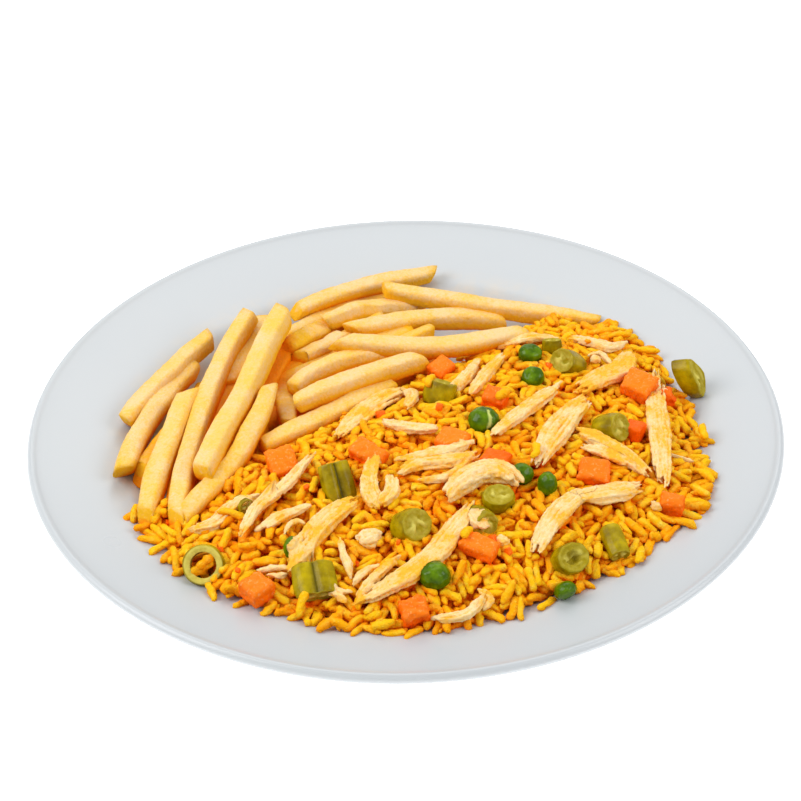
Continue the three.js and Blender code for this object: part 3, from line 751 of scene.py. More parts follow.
CRUST_RELIEF = 0.0005
CRUST_WAVES = 0.0006
FRY_GOLD = (0.93, 0.58, 0.09, 1)
FRY_PALE = (0.92, 0.64, 0.31, 1)
FRY_BROWN = (0.91, 0.48, 0.004, 1)
# The amber of the painted shade in the gaps between fries.
FRY_GAP_SHADE = (0.88, 0.25, 0.0, 1)


def frame_along(path):
    """For each point of a path, the ways along it, across it and up from it."""
    along = np.gradient(path, axis=0)
    along /= np.linalg.norm(along, axis=1)[:, None]
    across = np.cross(along, (0, 0, 1))
    across /= np.linalg.norm(across, axis=1)[:, None]
    return along, across, np.cross(across, along)


def fry(start, end, bow, thick, tone, random, roll):
    """Points and faces of one fry, how brown each point is with painted shade on its lower sides, and
    how much it faces down.
    """
    start, end = np.array(start, float), np.array(end, float)
    left = np.array([start[1] - end[1], end[0] - start[0], 0])
    bend = (start + end) / 2 + 2 * bow * left / np.linalg.norm(left)
    t = np.linspace(0, 1, FRY_STEPS)[:, None]
    path = (1 - t) ** 2 * start + 2 * t * (1 - t) * bend + t ** 2 * end
    along, across, outward = frame_along(path)
    ends = len(END_SCALES)
    ring_scale = np.concatenate([END_SCALES, np.ones(FRY_STEPS - 2), END_SCALES[::-1]])
    ring_step = np.concatenate([[0] * ends, np.arange(1, FRY_STEPS - 1), [FRY_STEPS - 1] * ends])
    ring_push = np.concatenate([END_PUSHES, np.zeros(FRY_STEPS - 2), np.negative(END_PUSHES[::-1])])
    angle = np.linspace(0, 2 * np.pi, FRY_SIDES, endpoint=False)
    square = random.uniform(*SQUARENESS)
    side = np.sign(np.cos(angle)) * np.abs(np.cos(angle)) ** square
    rise = np.sign(np.sin(angle)) * np.abs(np.sin(angle)) ** square
    corner = np.clip((np.hypot(side, rise) - 1.05) / 0.25, 0, 1)
    twist = math.radians(roll) + random.normal(0, 0.08) * (t[:, 0] - 0.5)
    seed = random.uniform(0, 900)
    slant = random.uniform(-1.0, 1.0, (2, 2))
    narrower = random.uniform(*NARROWING, 2)
    sway = random.uniform(*SWAY)
    points, brown, under = [], [], []
    for scale, step, push in zip(ring_scale, ring_step, ring_push):
        part = step / (FRY_STEPS - 1)
        half = thick / 2 * (1 - 0.1 * abs(2 * part - 1) ** 3)
        half *= 1 + 0.1 * noise.noise((part * 3.5, seed, 0))
        half *= 1 - narrower[0] * max(0, 1 - part / 0.22) - narrower[1] * max(0, 1 - (1 - part) / 0.22)
        flat = 1 + 0.12 * noise.noise((part * 2.0, seed, 7))
        near_end = max(0.0, 1 - min(part, 1 - part) * FRY_STEPS / 3)
        which = 0 if part < 0.5 else 1
        wander = sway * noise.noise((part * 3.2, seed, 3)), 0.4 * noise.noise((part * 4.0, seed, 5))
        for column in range(FRY_SIDES):
            x = side[column] * math.cos(twist[step]) - rise[column] * math.sin(twist[step])
            y = side[column] * math.sin(twist[step]) + rise[column] * math.cos(twist[step])
            # How far each point faces down, for painted shade on the fry's lower sides.
            under.append(min(1.0, max(0.0, 0.5 - y)))
            x, y = x * scale * half * flat, y * scale * half / flat
            cut = near_end * (slant[which][0] * x + slant[which][1] * y) * 0.8
            spot = path[step] + across[step] * (x + wander[0]) + outward[step] * (y + wander[1])
            spot = spot + along[step] * (cut - push)
            rough = noise.fractal(Vector(spot) / 3.2 + Vector((seed, 0, 0)), 0.9, 2.0, 3)
            centre = path[step] + along[step] * (cut - push)
            points.append(centre + (spot - centre) * (1 + ROUGHNESS * rough))
            end_brown = 0.75 if 0.3 < scale < 0.9 else 0.35 * near_end
            # The brown is the crust's own browning at corners and ends, and painted shade where the fry
            # faces down.
            brown.append(tone + under[-1] + 0.4 * corner[column] + end_brown + 0.35 * rough)
    return points, stitched(len(ring_scale), FRY_SIDES), brown, under


def pile_below(random):
    """Fries laid side by side in each arm of the pile, under the ones that show."""
    for arm in PILE_ARMS:
        turn = math.radians(arm["turn"])
        run = np.array([math.cos(turn), math.sin(turn)])
        side = np.array([-run[1], run[0]])
        for height, width in ((LOWEST_FRY, 1.0), (arm["top"], 0.8)):
            edge = arm["half"][1] * width
            for offset in np.arange(-edge, edge + 1, LOWER_FRY_GAP):
                half = arm["half"][0] * math.sqrt(1 - (offset / arm["half"][1] / 1.25) ** 2)
                skew = random.uniform(-5, 5)
                first = arm["middle"] + side * (offset - skew) - run * half * random.uniform(0.8, 1)
                last = arm["middle"] + side * (offset + skew) + run * half * random.uniform(0.8, 1)
                lift = [max(height, plate_top(np.hypot(*spot)) + LOWER_FRY_OVER_PLATE)
                        for spot in (first, last)]
                bow = random.uniform(-2, 2)
                thick = random.uniform(6, 7)
                yield (*first, lift[0]), (*last, lift[1]), bow, thick, LOWER_FRY_SHADE


potato_crust, start = new_finish("potato_crust", {"Specular IOR Level": 0.12})
place = place_on_piece(start)
browning_and_shade = value_of(start, "brown")
patches = speckle(place, 75, 3.0)
fine = speckle(place, 1000, 3.0, 0.7)
gold = tinted(spread(patches * 0.6 + fine * 0.5, 0.45, 0.68), FRY_PALE, FRY_GOLD)
# Painted amber shade where a fry lies low between the others.
between = value_of(start, "gap_shade")
underside = value_of(start, "underside")
# The painted shade on the lower sides and in the gaps also browns the crust colour.
crust_and_shade = browning_and_shade * 0.75 + fine * 0.65 + between * 0.45 + underside * 0.42
crust_and_shade = spread(crust_and_shade, 0.46, 1.06, 0.0, 0.95)
shaded = spread(between * 1.1 + underside * 0.4, 0.56, 1.1)
feed(potato_crust, "Base Color", tinted(shaded, tinted(crust_and_shade, gold, FRY_BROWN), FRY_GAP_SHADE))
feed(potato_crust, "Roughness", spread(fine, 0.3, 0.7, 0.38, 0.68))
blisters = speckle(place, 900, 4.0, 0.7)
waves = relief(speckle(place, 210, 2.0), CRUST_WAVES)
feed(potato_crust, "Normal", relief(blisters, CRUST_RELIEF, waves))

fry_random = np.random.default_rng(5)
pile_points, pile_faces, pile_brown, pile_underside_shade = [], [], [], []
for index, row in enumerate([*FRIES, *pile_below(fry_random)]):
    points, faces, brown, under = fry(*row, fry_random, ROLL * math.sin(index * 2.4))
    pile_faces.extend(tuple(corner + len(pile_points) for corner in face) for face in faces)
    pile_points.extend(points)
    pile_brown.extend(brown)
    pile_underside_shade.extend(under)
fries = new_piece("fries_pile", pile_points, pile_faces, potato_crust, {
    "brown": pile_brown, "underside": pile_underside_shade,
    "gap_shade": gap_shade(pile_points, wide_around, -2.0, 4.5)})
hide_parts("fries")

# The carrots: dice cut by a machine and boiled, so soft at the edges and moist. They keep the
# solids' forms. The sides that face down are drawn a deeper red orange as painted shade, and some
# dice are darker, partly their own tone and partly painted shade where they lie in shadow.
DICE_VOXEL = 0.5
DICE_ROUNDS = 8
DICE_PITS = 0.5
DICE_PIT_SIZE = 2.4
# How dark each die is drawn: partly its own tone, partly painted shade on dice that lie in shadow.
CARROT_SHADES = (0.1, 0.2, 0.15, 0.1, 0.75, 0.25, 0.45, 0.15, 0.3, 0.8, 0.3, 0.2, 0.35, 0.6)
CRUMBLED = {"carrot_13": 0.9, "carrot_14": 1.2}
CARROT_LIGHT = (1.0, 0.25, 0.006, 1)
CARROT_DEEP = (0.98, 0.12, 0.0, 1)
CARROT_PALE = (1.0, 0.42, 0.12, 1)
PORE_RELIEF = 0.0002
FLECK_RELIEF = 0.0005


def fused(points, faces, voxel, rounds):
    """Makes overlapping closed shapes into one skin of small even faces, and softens it."""
    rough = bpy.data.meshes.new("rough")
    rough.from_pydata((np.asarray(points) * MM).tolist(), [], faces)
    shape = bpy.data.objects.new("rough", rough)
    bpy.context.scene.collection.objects.link(shape)
    skin = shape.modifiers.new("skin", "REMESH")
    skin.mode = "VOXEL"
    skin.voxel_size = voxel * MM
    soften = shape.modifiers.new("soften", "SMOOTH")
    soften.iterations = rounds
    shown = shape.evaluated_get(bpy.context.evaluated_depsgraph_get())
    made = shown.to_mesh()
    places = np.empty(len(made.vertices) * 3)
    normals = np.empty(len(made.vertices) * 3)
    made.vertices.foreach_get("co", places)
    made.vertices.foreach_get("normal", normals)
    faces = [tuple(face.vertices) for face in made.polygons]
    shown.to_mesh_clear()
    bpy.data.objects.remove(shape)
    bpy.data.meshes.remove(rough)
    return places.reshape(-1, 3) / MM, normals.reshape(-1, 3), faces


def uneven(points, normals, size, depth, seed):
    """Pushes points in and out along their normals by noise with bumps of one size."""
    shift = [noise.fractal(Vector(point) / size + Vector((seed, 0, 0)), 1.0, 2.0, 3) for point in points]
    return points + normals * np.array(shift)[:, None] * depth


# What the pieces laid so far are, and the boxes round them.
placed = []


def pressed(points, gap=0.15):
    """Moves a soft piece's points that would be inside a piece laid earlier out to its skin."""
    low, high = points.min(0) - gap, points.max(0) + gap
    near = [tree for tree, least, most in placed if (least < high).all() and (most > low).all()]
    points = points.copy()
    for tree in near:
        for number, point in enumerate(points):
            place, normal, _, far = tree.find_nearest(point, 12)
            if place is not None:
                depth = (Vector(point) - place).dot(normal)
                if depth < gap and (depth < 0 or far < gap):
                    points[number] = place + normal * gap
    return points


def lay(points, faces):
    """Notes where a piece lies, for the pieces that are laid after it."""
    tree = BVHTree.FromPolygons([Vector(point) for point in points], faces)
    placed.append((tree, points.min(0), points.max(0)))


boiled_carrot, start = new_finish("boiled_carrot", {"Specular IOR Level": 0.14})
place = place_on_piece(start)
redness = value_of(start, "redness")
flecks = speckle(place, 380, 3.0, 0.6)
body = tinted(spread(redness + flecks * 0.5, 0.2, 1.1), CARROT_LIGHT, CARROT_DEEP)
# Pale specks, which fade out where the dice are drawn redder and shaded.
pale_specks = spread(speckle(place, 1100, 2.0), 0.58, 0.7) * spread(redness, 0.9, 0.3, 0.0, 0.7)
feed(boiled_carrot, "Base Color", tinted(pale_specks, body, CARROT_PALE))
feed(boiled_carrot, "Roughness", spread(flecks, 0.35, 0.65, 0.3, 0.5))
flecked = relief(flecks, FLECK_RELIEF)
feed(boiled_carrot, "Normal", relief(speckle(place, 1500, 3.0), PORE_RELIEF, flecked))

for index, shade in enumerate(CARROT_SHADES):
    node = f"carrot_{index + 1:02d}"
    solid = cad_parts[node].data
    corners = [vertex.co / MM for vertex in solid.vertices]
    sides = [tuple(face.vertices) for face in solid.polygons]
    points, normals, faces = fused(corners, sides, DICE_VOXEL, DICE_ROUNDS)
    pits = CRUMBLED.get(node, DICE_PITS)
    points = uneven(points, normals, DICE_PIT_SIZE, pits, index * 7.0)
    lay(points, faces)
    # Each die's darkness, with painted shade added on the sides that face down.
    dice = new_piece(f"carrot_dice_{index + 1:02d}", points, faces, boiled_carrot, {
        "redness": shade + 0.45 * np.clip(0.55 - normals[:, 2], 0, 1)})
    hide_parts(node)

# The peas: round and glossy, with a thin skin that has shrunk a little in the cooking. One has
# split and shows its pale inside, and one has lost its inside and is a squashed skin.

# Each row is a pea: where it is, its half measures, and the ways to its split and to its dent.
PEAS = (
    {"at": (26, -14, 31), "half": (5.2, 4.8, 4.6), "split": (0.55, -0.6, 0.6)},
    {"at": (44, 12, 29.5), "half": (3.9, 3.7, 3.6), "dent": (-0.2, -0.5, 0.85)},
    {"at": (44, 28, 28), "half": (4.2, 3.6, 3.3), "dent": (0.3, -0.3, 0.9)},
    {"at": (8, -84, 24.5), "half": (4.9, 4.7, 4.5)},
    {"at": (45, -46, 29), "half": (3.2, 3.4, 4.4)},
    {"at": (37, -41, 29.5), "half": (4, 3.6, 3.6)},
    {"at": (-36, -69, 24.5), "half": (3, 3.6, 3.8)},
    {"at": (48, -86, 19), "half": (3.6, 2.8, 4.6), "lean": 45, "spin": 20, "dent": (0, -1, 0.5)},
)
PEA_RINGS = 40
PEA_COLUMNS = 56
WRINKLE_DEPTH = 0.045
DENT_DEPTH = 0.2
DENT_WIDTH = 0.2
SPLIT_DEPTH = 0.13
PEA_GREEN = (0.05, 0.115, 0.0, 1)
PEA_LIGHT = (0.15, 0.28, 0.0, 1)
PEA_INSIDE = (0.55, 0.62, 0.16, 1)
PEA_RELIEF = 0.0001


def turned(points, at, lean=0, aim=-90, spin=0):
    """Spins a piece, leans it from upright towards a direction round the plate, and places it."""
    direction = math.radians(aim)
    hinge = Vector((-math.sin(direction), math.cos(direction), 0))
    way = Matrix.Rotation(math.radians(lean), 3, hinge) @ Matrix.Rotation(math.radians(spin), 3, "Z")
    return np.asarray(points) @ np.array(way).T + np.array(at)


pea_skin, start = new_finish("pea_skin", {"IOR": 1.45, "Specular IOR Level": 0.25})
place = place_on_piece(start)
inside = value_of(start, "inside")
mottle = speckle(place, 260, 3.0)
skin_green = tinted(spread(mottle, 0.4, 0.75), PEA_GREEN, PEA_LIGHT)
feed(pea_skin, "Base Color", tinted(inside, skin_green, PEA_INSIDE))
feed(pea_skin, "Roughness", spread(inside + speckle(place, 500) * 0.3, 0.1, 0.9, 0.14, 0.55))
feed(pea_skin, "Normal", relief(speckle(place, 700, 2.0), PEA_RELIEF))

def wrinkled_ball(pea, number):
    """Points and faces of a pea, and how far each point shows its inside."""
    ball, shown = [], []
    dent = Vector(pea.get("dent", (0, 0, -1))).normalized()
    split = Vector(pea.get("split", (0, 0, 1))).normalized()
    for polar in np.linspace(0.02, np.pi - 0.02, PEA_RINGS):
        for turn in np.linspace(0, 2 * np.pi, PEA_COLUMNS, endpoint=False):
            x, y = math.sin(polar) * math.cos(turn), math.sin(polar) * math.sin(turn)
            way = Vector((x, y, math.cos(polar)))
            wrinkle = noise.fractal(way * 2.3 + Vector((number * 5, 0, 0)), 1.0, 2.0, 3)
            out = 1 + WRINKLE_DEPTH * wrinkle
            out -= DENT_DEPTH * math.exp(-((1 - way.dot(dent)) / DENT_WIDTH) ** 2)
            bare = 0.0
            if "split" in pea:
                across = way.dot(split.cross(Vector((0.3, 0.4, 1))).normalized()) + 0.06 * wrinkle
                facing = max(0.0, way.dot(split))
                out -= SPLIT_DEPTH * math.exp(-(across / 0.07) ** 2) * facing
                bare = float(smooth_step(0.28 - abs(across - 0.13), 0.1, 0.2)) * float(facing > 0.72)
            ball.append(way * out)
            shown.append(bare)
    faces = [face[::-1] for face in stitched(PEA_RINGS, PEA_COLUMNS)]
    faces.append(tuple(range(PEA_COLUMNS)))
    faces.append(tuple(reversed(range(len(ball) - PEA_COLUMNS, len(ball)))))
    return np.array(ball) * pea["half"], faces, shown


for index, pea in enumerate(PEAS):
    ball, faces, shown = wrinkled_ball(pea, index)
    ball = pressed(turned(ball, pea["at"], pea.get("lean", 0), spin=pea.get("spin", 0)))
    lay(ball, faces)
    round_pea = new_piece(f"green_pea_{index + 1:02d}", ball, faces, pea_skin, {"inside": shown})
    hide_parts(f"pea_{index + 1:02d}")

# The green beans: pods cut across into short pieces. The skin is dark, ribbed and wet. The cut
# faces are paler, with a firm wall round two soft hollows in which pale seeds lie.

# Each row is a piece of pod: where it is, its measures, how far it leans from upright and to
# which side. Groove is how deep its sides are folded in, hollow how wide the hole in it is, and
# slant how far its ends are off the square.
BEANS = (
    {"at": (12, 5, 29), "wide": 11.5, "thick": 8.5, "long": 8, "lean": 30, "aim": 60},
    {"at": (-22, -43, 29), "wide": 10.6, "thick": 7.5, "long": 13.5, "lean": 45, "aim": 110,
     "groove": 0.4},
    {"at": (1, -64, 28), "wide": 11.5, "thick": 11, "long": 8.5, "lean": 50, "aim": -50},
    {"at": (-64, -71, 20), "wide": 13.4, "thick": 13.4, "long": 6, "lean": 48, "aim": -90,
     "hollow": 0.66},
    {"at": (-29, -83, 23), "wide": 13.6, "thick": 7.5, "long": 11, "lean": 112, "aim": -80,
     "groove": 0.35},
    {"at": (29, -53, 29), "wide": 10.6, "thick": 9.2, "long": 5, "lean": 12, "aim": -90},
    {"at": (23, -62, 27.5), "wide": 9, "thick": 9, "long": 8, "lean": 75, "aim": -60},
    {"at": (50, -75, 22), "wide": 11.7, "thick": 10, "long": 7.5, "lean": 42, "aim": -60,
     "hollow": 0.4},
    {"at": (65, -66, 21), "wide": 7.2, "thick": 6, "long": 11, "lean": 105, "aim": -75},
    {"at": (68, -15, 27), "wide": 10.5, "thick": 10, "long": 9, "lean": 60, "aim": -35},
    {"at": (98.7, 17.3, 23.4), "wide": 8, "thick": 15, "long": 7.5, "lean": 76, "aim": -25,
     "slant": 2.2},
    {"at": (57, 23, 27), "wide": 10.5, "thick": 9, "long": 9, "lean": 50, "aim": -140},
    {"at": (52, 34, 26.5), "wide": 7, "thick": 5, "long": 5, "lean": 20, "aim": 90},
    {"at": (-52.5, -47.5, 25), "wide": 5.5, "thick": 5.5, "long": 6.5, "lean": 70, "aim": -60},
)
BEAN_COLUMNS = 64
RIBS = 9
RIB_DEPTH = 0.018
SEED_FROM_MIDDLE = 0.33
SKIN_SHARE = 0.86
PITH_DEPTH = 2.6
BEAN_SKIN = (0.22, 0.15, 0.0, 1)
BEAN_SKIN_LIGHT = (0.5, 0.37, 0.001, 1)
BEAN_CUT = (0.36, 0.265, 0.002, 1)
BEAN_SEED = (0.68, 0.58, 0.11, 1)
BEAN_CREASE_SHADE = (0.10, 0.075, 0.0, 1)
BEAN_RELIEF = 0.00016


def bean_profile(hollow):
    """Rows of a pod from one end's middle over the skin to the other's: out, along and on cut."""
    face = [(0.03, 1.0), (0.12, 1.0), (0.22, 1.0), (0.32, 1.0), (0.42, 1.0), (0.52, 1.0), (0.6, 1.0),
            (0.68, 1.0), (0.76, 1.0), (0.84, 1.0), (0.9, 1.0), (0.95, 0.99), (0.985, 0.965)]
    if hollow > 0.5:
        face = [(out, along) for out, along in face if out > hollow + 0.05]
        bore = [(hollow, along) for along in np.linspace(0.1, 0.93, 7)] + [(hollow + 0.03, 0.985)]
        face = bore + face
    skin = [(1.0, along) for along in np.linspace(0.92, -0.92, 17)]
    top = [(out, along, 1.0) for out, along in face]
    return top + [(*row, 0.0) for row in skin] + [(out, -along, 1.0) for out, along in reversed(face)]


bean_pod, start = new_finish("bean_pod", {"IOR": 1.45, "Specular IOR Level": 0.18})
place = place_on_piece(start)
cut_face = value_of(start, "cut")
seed_here = value_of(start, "seed")
patchy = speckle(place, 170, 3.0)
pod_skin = tinted(spread(patchy, 0.38, 0.68), BEAN_SKIN, BEAN_SKIN_LIGHT)
pod_flesh = tinted(spread(speckle(place, 550, 3.0) + seed_here, 0.42, 1.2), BEAN_CUT, BEAN_SEED)
# Painted shade: the crease where a pod's side folds in is drawn almost black.
folded = value_of(start, "fold")
feed(bean_pod, "Base Color", tinted(folded, tinted(cut_face, pod_skin, pod_flesh), BEAN_CREASE_SHADE))
feed(bean_pod, "Roughness", spread(cut_face + speckle(place, 400) * 0.6, 0.2, 1.2, 0.22, 0.6))
feed(bean_pod, "Normal", relief(speckle(place, 1100, 3.0), BEAN_RELIEF))

def cut_pod(bean, number):
    """Points and faces of a piece of pod, and how much each point is cut, seed and darkened in its fold
    as painted shade.
    """
    groove, hollow, slant = bean.get("groove", 0), bean.get("hollow", 0), bean.get("slant", 0)
    filled = hollow < 0.5
    rows = bean_profile(hollow)
    pod, on_cut, seeds, folds = [], [], [], []
    for out, along, cut in rows:
        for turn in np.linspace(0, 2 * np.pi, BEAN_COLUMNS, endpoint=False):
            x, y = math.cos(turn), math.sin(turn)
            rib = RIB_DEPTH * math.sin(RIBS * turn + number) * filled
            rib += 1 + 0.04 * noise.noise((x * 1.6, y * 1.6, along + number * 9))
            plump = (1 - 0.08 * along ** 2) * rib
            x, y = x * out, y * out
            crease = math.exp(-(math.sin(turn) / 0.11) ** 2)
            trough = math.exp(-(math.sin(turn) / 0.35) ** 2)
            dent = 1 - groove * (0.75 * trough + 0.6 * crease) * out ** 2
            lobe = math.exp(-(((abs(y) - SEED_FROM_MIDDLE) / 0.26) ** 2 + (x / 0.36) ** 2)) * filled
            there = noise.noise((x * 2.2 + number * 3, y * 2.2, along))
            seed = float(lobe * smooth_step(there, -0.15, 0.15))
            inside = float(smooth_step(SKIN_SHARE - out, 0, 0.12))
            crumb = noise.fractal(Vector((x * 5, y * 5, along + number * 4)), 0.8, 2.0, 3)
            sunk = cut * inside * (0.35 + 0.7 * lobe - seed + 0.22 * crumb)
            if filled and hollow and along > 0:
                sunk += PITH_DEPTH * float(smooth_step(hollow + 0.1 - out, 0, 0.16))
            height = along * bean["long"] / 2 - math.copysign(max(sunk, -0.1), along) * cut
            height += slant * (x * max(0.0, -along) + 1.3 * min(0.0, x) * max(0.0, along))
            pod.append((x * dent * plump * bean["thick"] / 2, y * plump * bean["wide"] / 2, height))
            on_cut.append(cut * (1 if out < 0.97 else 0.4))
            seeds.append(seed * cut * inside if filled else 0.6 * cut)
            # Painted shade in the crease, on the skin only.
            folds.append(crease * (1 - cut) * min(1, 3 * groove))
    faces = [face[::-1] for face in stitched(len(rows), BEAN_COLUMNS)]
    last = (len(rows) - 1) * BEAN_COLUMNS
    if filled:
        faces.append(tuple(range(BEAN_COLUMNS)))
        faces.append(tuple(reversed(range(last, last + BEAN_COLUMNS))))
    else:
        for column in range(BEAN_COLUMNS):
            beside = (column + 1) % BEAN_COLUMNS
            faces.append((last + beside, last + column, column, beside))
    return pod, faces, {"cut": on_cut, "seed": seeds, "fold": folds}


for index, bean in enumerate(BEANS):
    pod, faces, fields = cut_pod(bean, index)
    pod = pressed(turned(pod, bean["at"], bean["lean"], bean["aim"], bean["aim"]))
    lay(pod, faces)
    cut_bean = new_piece(f"cut_bean_{index + 1:02d}", pod, faces, bean_pod, fields)
    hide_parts(f"bean_{index + 1:02d}")

# The chicken: boiled breast pulled apart by hand along its fibres. Each shred is a bundle of
# fibres that have torn off at different lengths, cream white and stained yellow by the rice.

# Each row is a shred and its one or more strands: the way a strand goes, how wide it is, how far
# it lies over the mound, how far it is soaked, and how thick its fibres are if not as most are.
SHREDS = (
    (
        {"way": ((-18, -93), (-5, -87), (7, -78), (15, -66), (21, -55)),
         "wide": 7.5, "over": 3, "soaked": 0.55},
        {"way": ((-16, -91), (-11, -84), (-2, -76)), "wide": 3.2, "over": 2.5, "soaked": 0.5},
    ),
    ({"way": ((-37, -80), (-32, -70), (-25, -60), (-14, -51)),
      "wide": 7.5, "over": 3.2, "soaked": 0.5},),
    (
        {"way": ((-10, -32), (-12, -47), (-9, -58)), "wide": 6, "over": 3, "soaked": 0.2},
        {"way": ((-5, -41), (-5, -50), (-10, -56)), "wide": 5, "over": 2.8},
    ),
    ({"way": ((-53, -64), (-48, -53), (-39, -44), (-29, -27)),
      "wide": 4.4, "over": 4.2, "soaked": 0.25},),
    ({"way": ((-70, -56), (-62, -55), (-56, -49), (-46, -45)), "wide": 4.8, "over": 2.6},),
    ({"way": ((-47, -61), (-39, -56), (-30, -52)), "wide": 3.4, "over": 2.4},),
    (
        {"way": ((-23, -19), (-16, -7), (-8, 5), (1, 11)), "wide": 8.6, "over": 2.8, "soaked": 0.3},
        {"way": ((0, 12), (3, 5), (0, -5)), "wide": 4, "over": 2.6},
    ),
    ({"way": ((-8, -11), (2, -18), (12, -19)), "wide": 4.2, "over": 2.6},),
    (
        {"way": ((-4, -35), (11, -32), (23, -27)), "wide": 4.2, "over": 3},
        {"way": ((-3, -42), (5, -37), (16, -36), (24, -32)), "wide": 5.4, "over": 2.8, "soaked": 0.35},
        {"way": ((3, -45), (14, -43), (21, -34)), "wide": 3, "over": 2.4},
    ),
    ({"way": ((12, -55), (16, -49), (24, -43), (31, -43), (37, -49)),
      "wide": 9, "over": 3.4, "strand": 2.6},),
    (
        {"way": ((39, -75), (44, -64), (53, -52), (59, -49)), "wide": 7.6, "over": 3},
        {"way": ((54, -51), (65, -48), (76, -43)), "wide": 8, "over": 3},
    ),
    ({"way": ((88, 26), (85, 2), (84, -22), (82, -44)), "wide": 7.4, "over": 3.4},),
    ({"way": ((41, -40), (47, -26), (54, -12), (62, 1)), "wide": 9.4, "over": 3},),
    ({"way": ((28, -24), (36, -14), (45, -3), (55, 10)), "wide": 5.8, "over": 2.8},),
    ({"way": ((57, 3), (66, 13), (75, 22), (79, 35)), "wide": 8.8, "over": 2.8, "soaked": 0.7},),
    ({"way": ((31, 37), (44, 39), (55, 40)), "wide": 3.6, "over": 2.4},),
    (
        {"way": ((55, -18), (65, -24), (73, -31), (79, -38)), "wide": 7.2, "over": 2.8, "soaked": 0.55},
        {"way": ((57, -26), (65, -29), (73, -34)), "wide": 3.8, "over": 2.4},
    ),
    ({"way": ((16, 4), (21, 13), (26, 27)), "wide": 4.4, "over": 2.6},),
    ({"way": ((22, 1), (28, 13), (35, 28)), "wide": 4.4, "over": 2.6},),
    ({"way": ((57, 40), (67, 38), (73, 36), (80, 43)), "wide": 4, "over": 2.6},),
    ({"way": ((6, -99), (17, -97), (24, -89)), "wide": 3.4, "over": 2.6},),
)
SHRED_VOXEL = 0.36
FIBRE_WIDTH = 1.15
FIBRE_LAYERS = (-0.45, 0.5)
FIBRE_RADII = (0.52, 0.85)
FIBRE_SWAY = 0.4
FIBRE_LIFT = 0.35
TORN_OFF = (0, 0.1)
FIBRE_STEPS = 34
STRAND_STEPS = 46
RUN_STEPS = 60
LITTLE_SOAKED = 0.12
SHRED_GAP_DEPTH = 4.0
CHICKEN_CREAM = (0.90, 0.62, 0.25, 1)
CHICKEN_WHITE = (0.93, 0.74, 0.43, 1)
# The yellow of the real stains, also used for the painted shade in the hollows; then the painted shade
# in the gaps.
CHICKEN_STAIN_AND_SHADE = (0.95, 0.47, 0.02, 1)
CHICKEN_GAP_SHADE = (0.85, 0.28, 0.003, 1)
CHICKEN_GRAIN_RELIEF = 0.0003
THIN_FIBRE_RELIEF = 0.00025
THICK_FIBRE_RELIEF = 0.0004


def curve_through(places, steps):
    """Points of a smooth curve through a few places, as a spline goes through its knots."""
    places = np.array(places, float)
    padded = np.vstack([2 * places[0] - places[1], places, 2 * places[-1] - places[-2]])
    at = np.linspace(0, len(places) - 1, steps)
    knot = np.minimum(at.astype(int), len(places) - 2)
    part = (at - knot)[:, None]
    a, b, c, d = [padded[knot + offset] for offset in range(4)]
    return 0.5 * (2 * b + (c - a) * part + (2 * a - 5 * b + 4 * c - d) * part ** 2
                  + (3 * b - a - 3 * c + d) * part ** 3)


def middle_line(strand, steps):
    """Points along the middle of a strand, which lies over the mound."""
    x, y = np.array(strand["way"], float).T
    return curve_through(np.stack([x, y, mound_top(x, y) + strand["over"]], 1), steps)


def tube(path, radii, sides=7):
    """Points and faces of a closed tube along a path, with a radius at each of its points."""
    _, across, outward = frame_along(path)
    angle = np.linspace(0, 2 * np.pi, sides, endpoint=False)[None, :, None]
    rings = path[:, None] + radii[:, None, None] * (
        np.cos(angle) * across[:, None] + np.sin(angle) * outward[:, None])
    faces = stitched(len(path), sides)
    faces.append(tuple(reversed(range(sides))))
    faces.append(tuple(range((len(path) - 1) * sides, len(path) * sides)))
    return rings.reshape(-1, 3), faces


def fibres_of(strand, random):
    """Tubes for the fibres of one strand, side by side in two layers, torn off unevenly."""
    path = middle_line(strand, STRAND_STEPS)
    _, across, outward = frame_along(path)
    t = np.linspace(0, 1, STRAND_STEPS)
    torn = 0.42 + 0.58 * np.sin(np.pi * t) ** 0.55
    phase = random.uniform(0, 99)
    torn = torn * np.array([1 + 0.22 * noise.noise((5 * value, phase, 5)) for value in t])
    half_wide = strand["wide"] / 2 * torn
    half_high = (0.6 + 0.19 * strand["wide"]) * torn
    size = strand.get("strand", FIBRE_WIDTH)
    lanes = max(3, round(strand["wide"] / size))
    for layer in FIBRE_LAYERS:
        for lane in range(lanes):
            side = (2 * (lane + random.uniform(0.2, 0.8)) / lanes - 1) * 0.9
            first = random.uniform(*TORN_OFF) * (1 + abs(side))
            last = 1 - random.uniform(*TORN_OFF) * (1 + abs(side))
            kept = np.linspace(first, last, FIBRE_STEPS)
            phase = random.uniform(0, 99)
            sway = np.array([noise.noise((value * 3.2, phase, 0)) for value in kept])
            lift = np.array([noise.noise((value * 3.2, phase, 9)) for value in kept])
            columns = (*path.T, *across.T, *outward.T, half_wide, half_high)
            at = [np.interp(kept, t, column) for column in columns]
            middle, sideways, upward = np.array(at[:3]).T, np.array(at[3:6]).T, np.array(at[6:9]).T
            wide_here, high_here = at[9][:, None], at[10][:, None]
            arch = math.sqrt(max(0.0, 1 - side ** 2))
            line = middle + sideways * (wide_here * side + FIBRE_SWAY * sway[:, None])
            rise = high_here * (layer * (0.35 + 0.65 * arch))
            line = line + upward * (rise + FIBRE_LIFT * lift[:, None])
            taper = np.sin(np.pi * np.clip((kept - first) / (last - first), 0.012, 0.988)) ** 0.25
            radius = min(size * random.uniform(*FIBRE_RADII), 0.3 * strand["wide"]) * taper
            radius *= np.interp(kept, t, half_high) / half_high.max() * 0.5 + 0.5
            yield tube(line, radius)


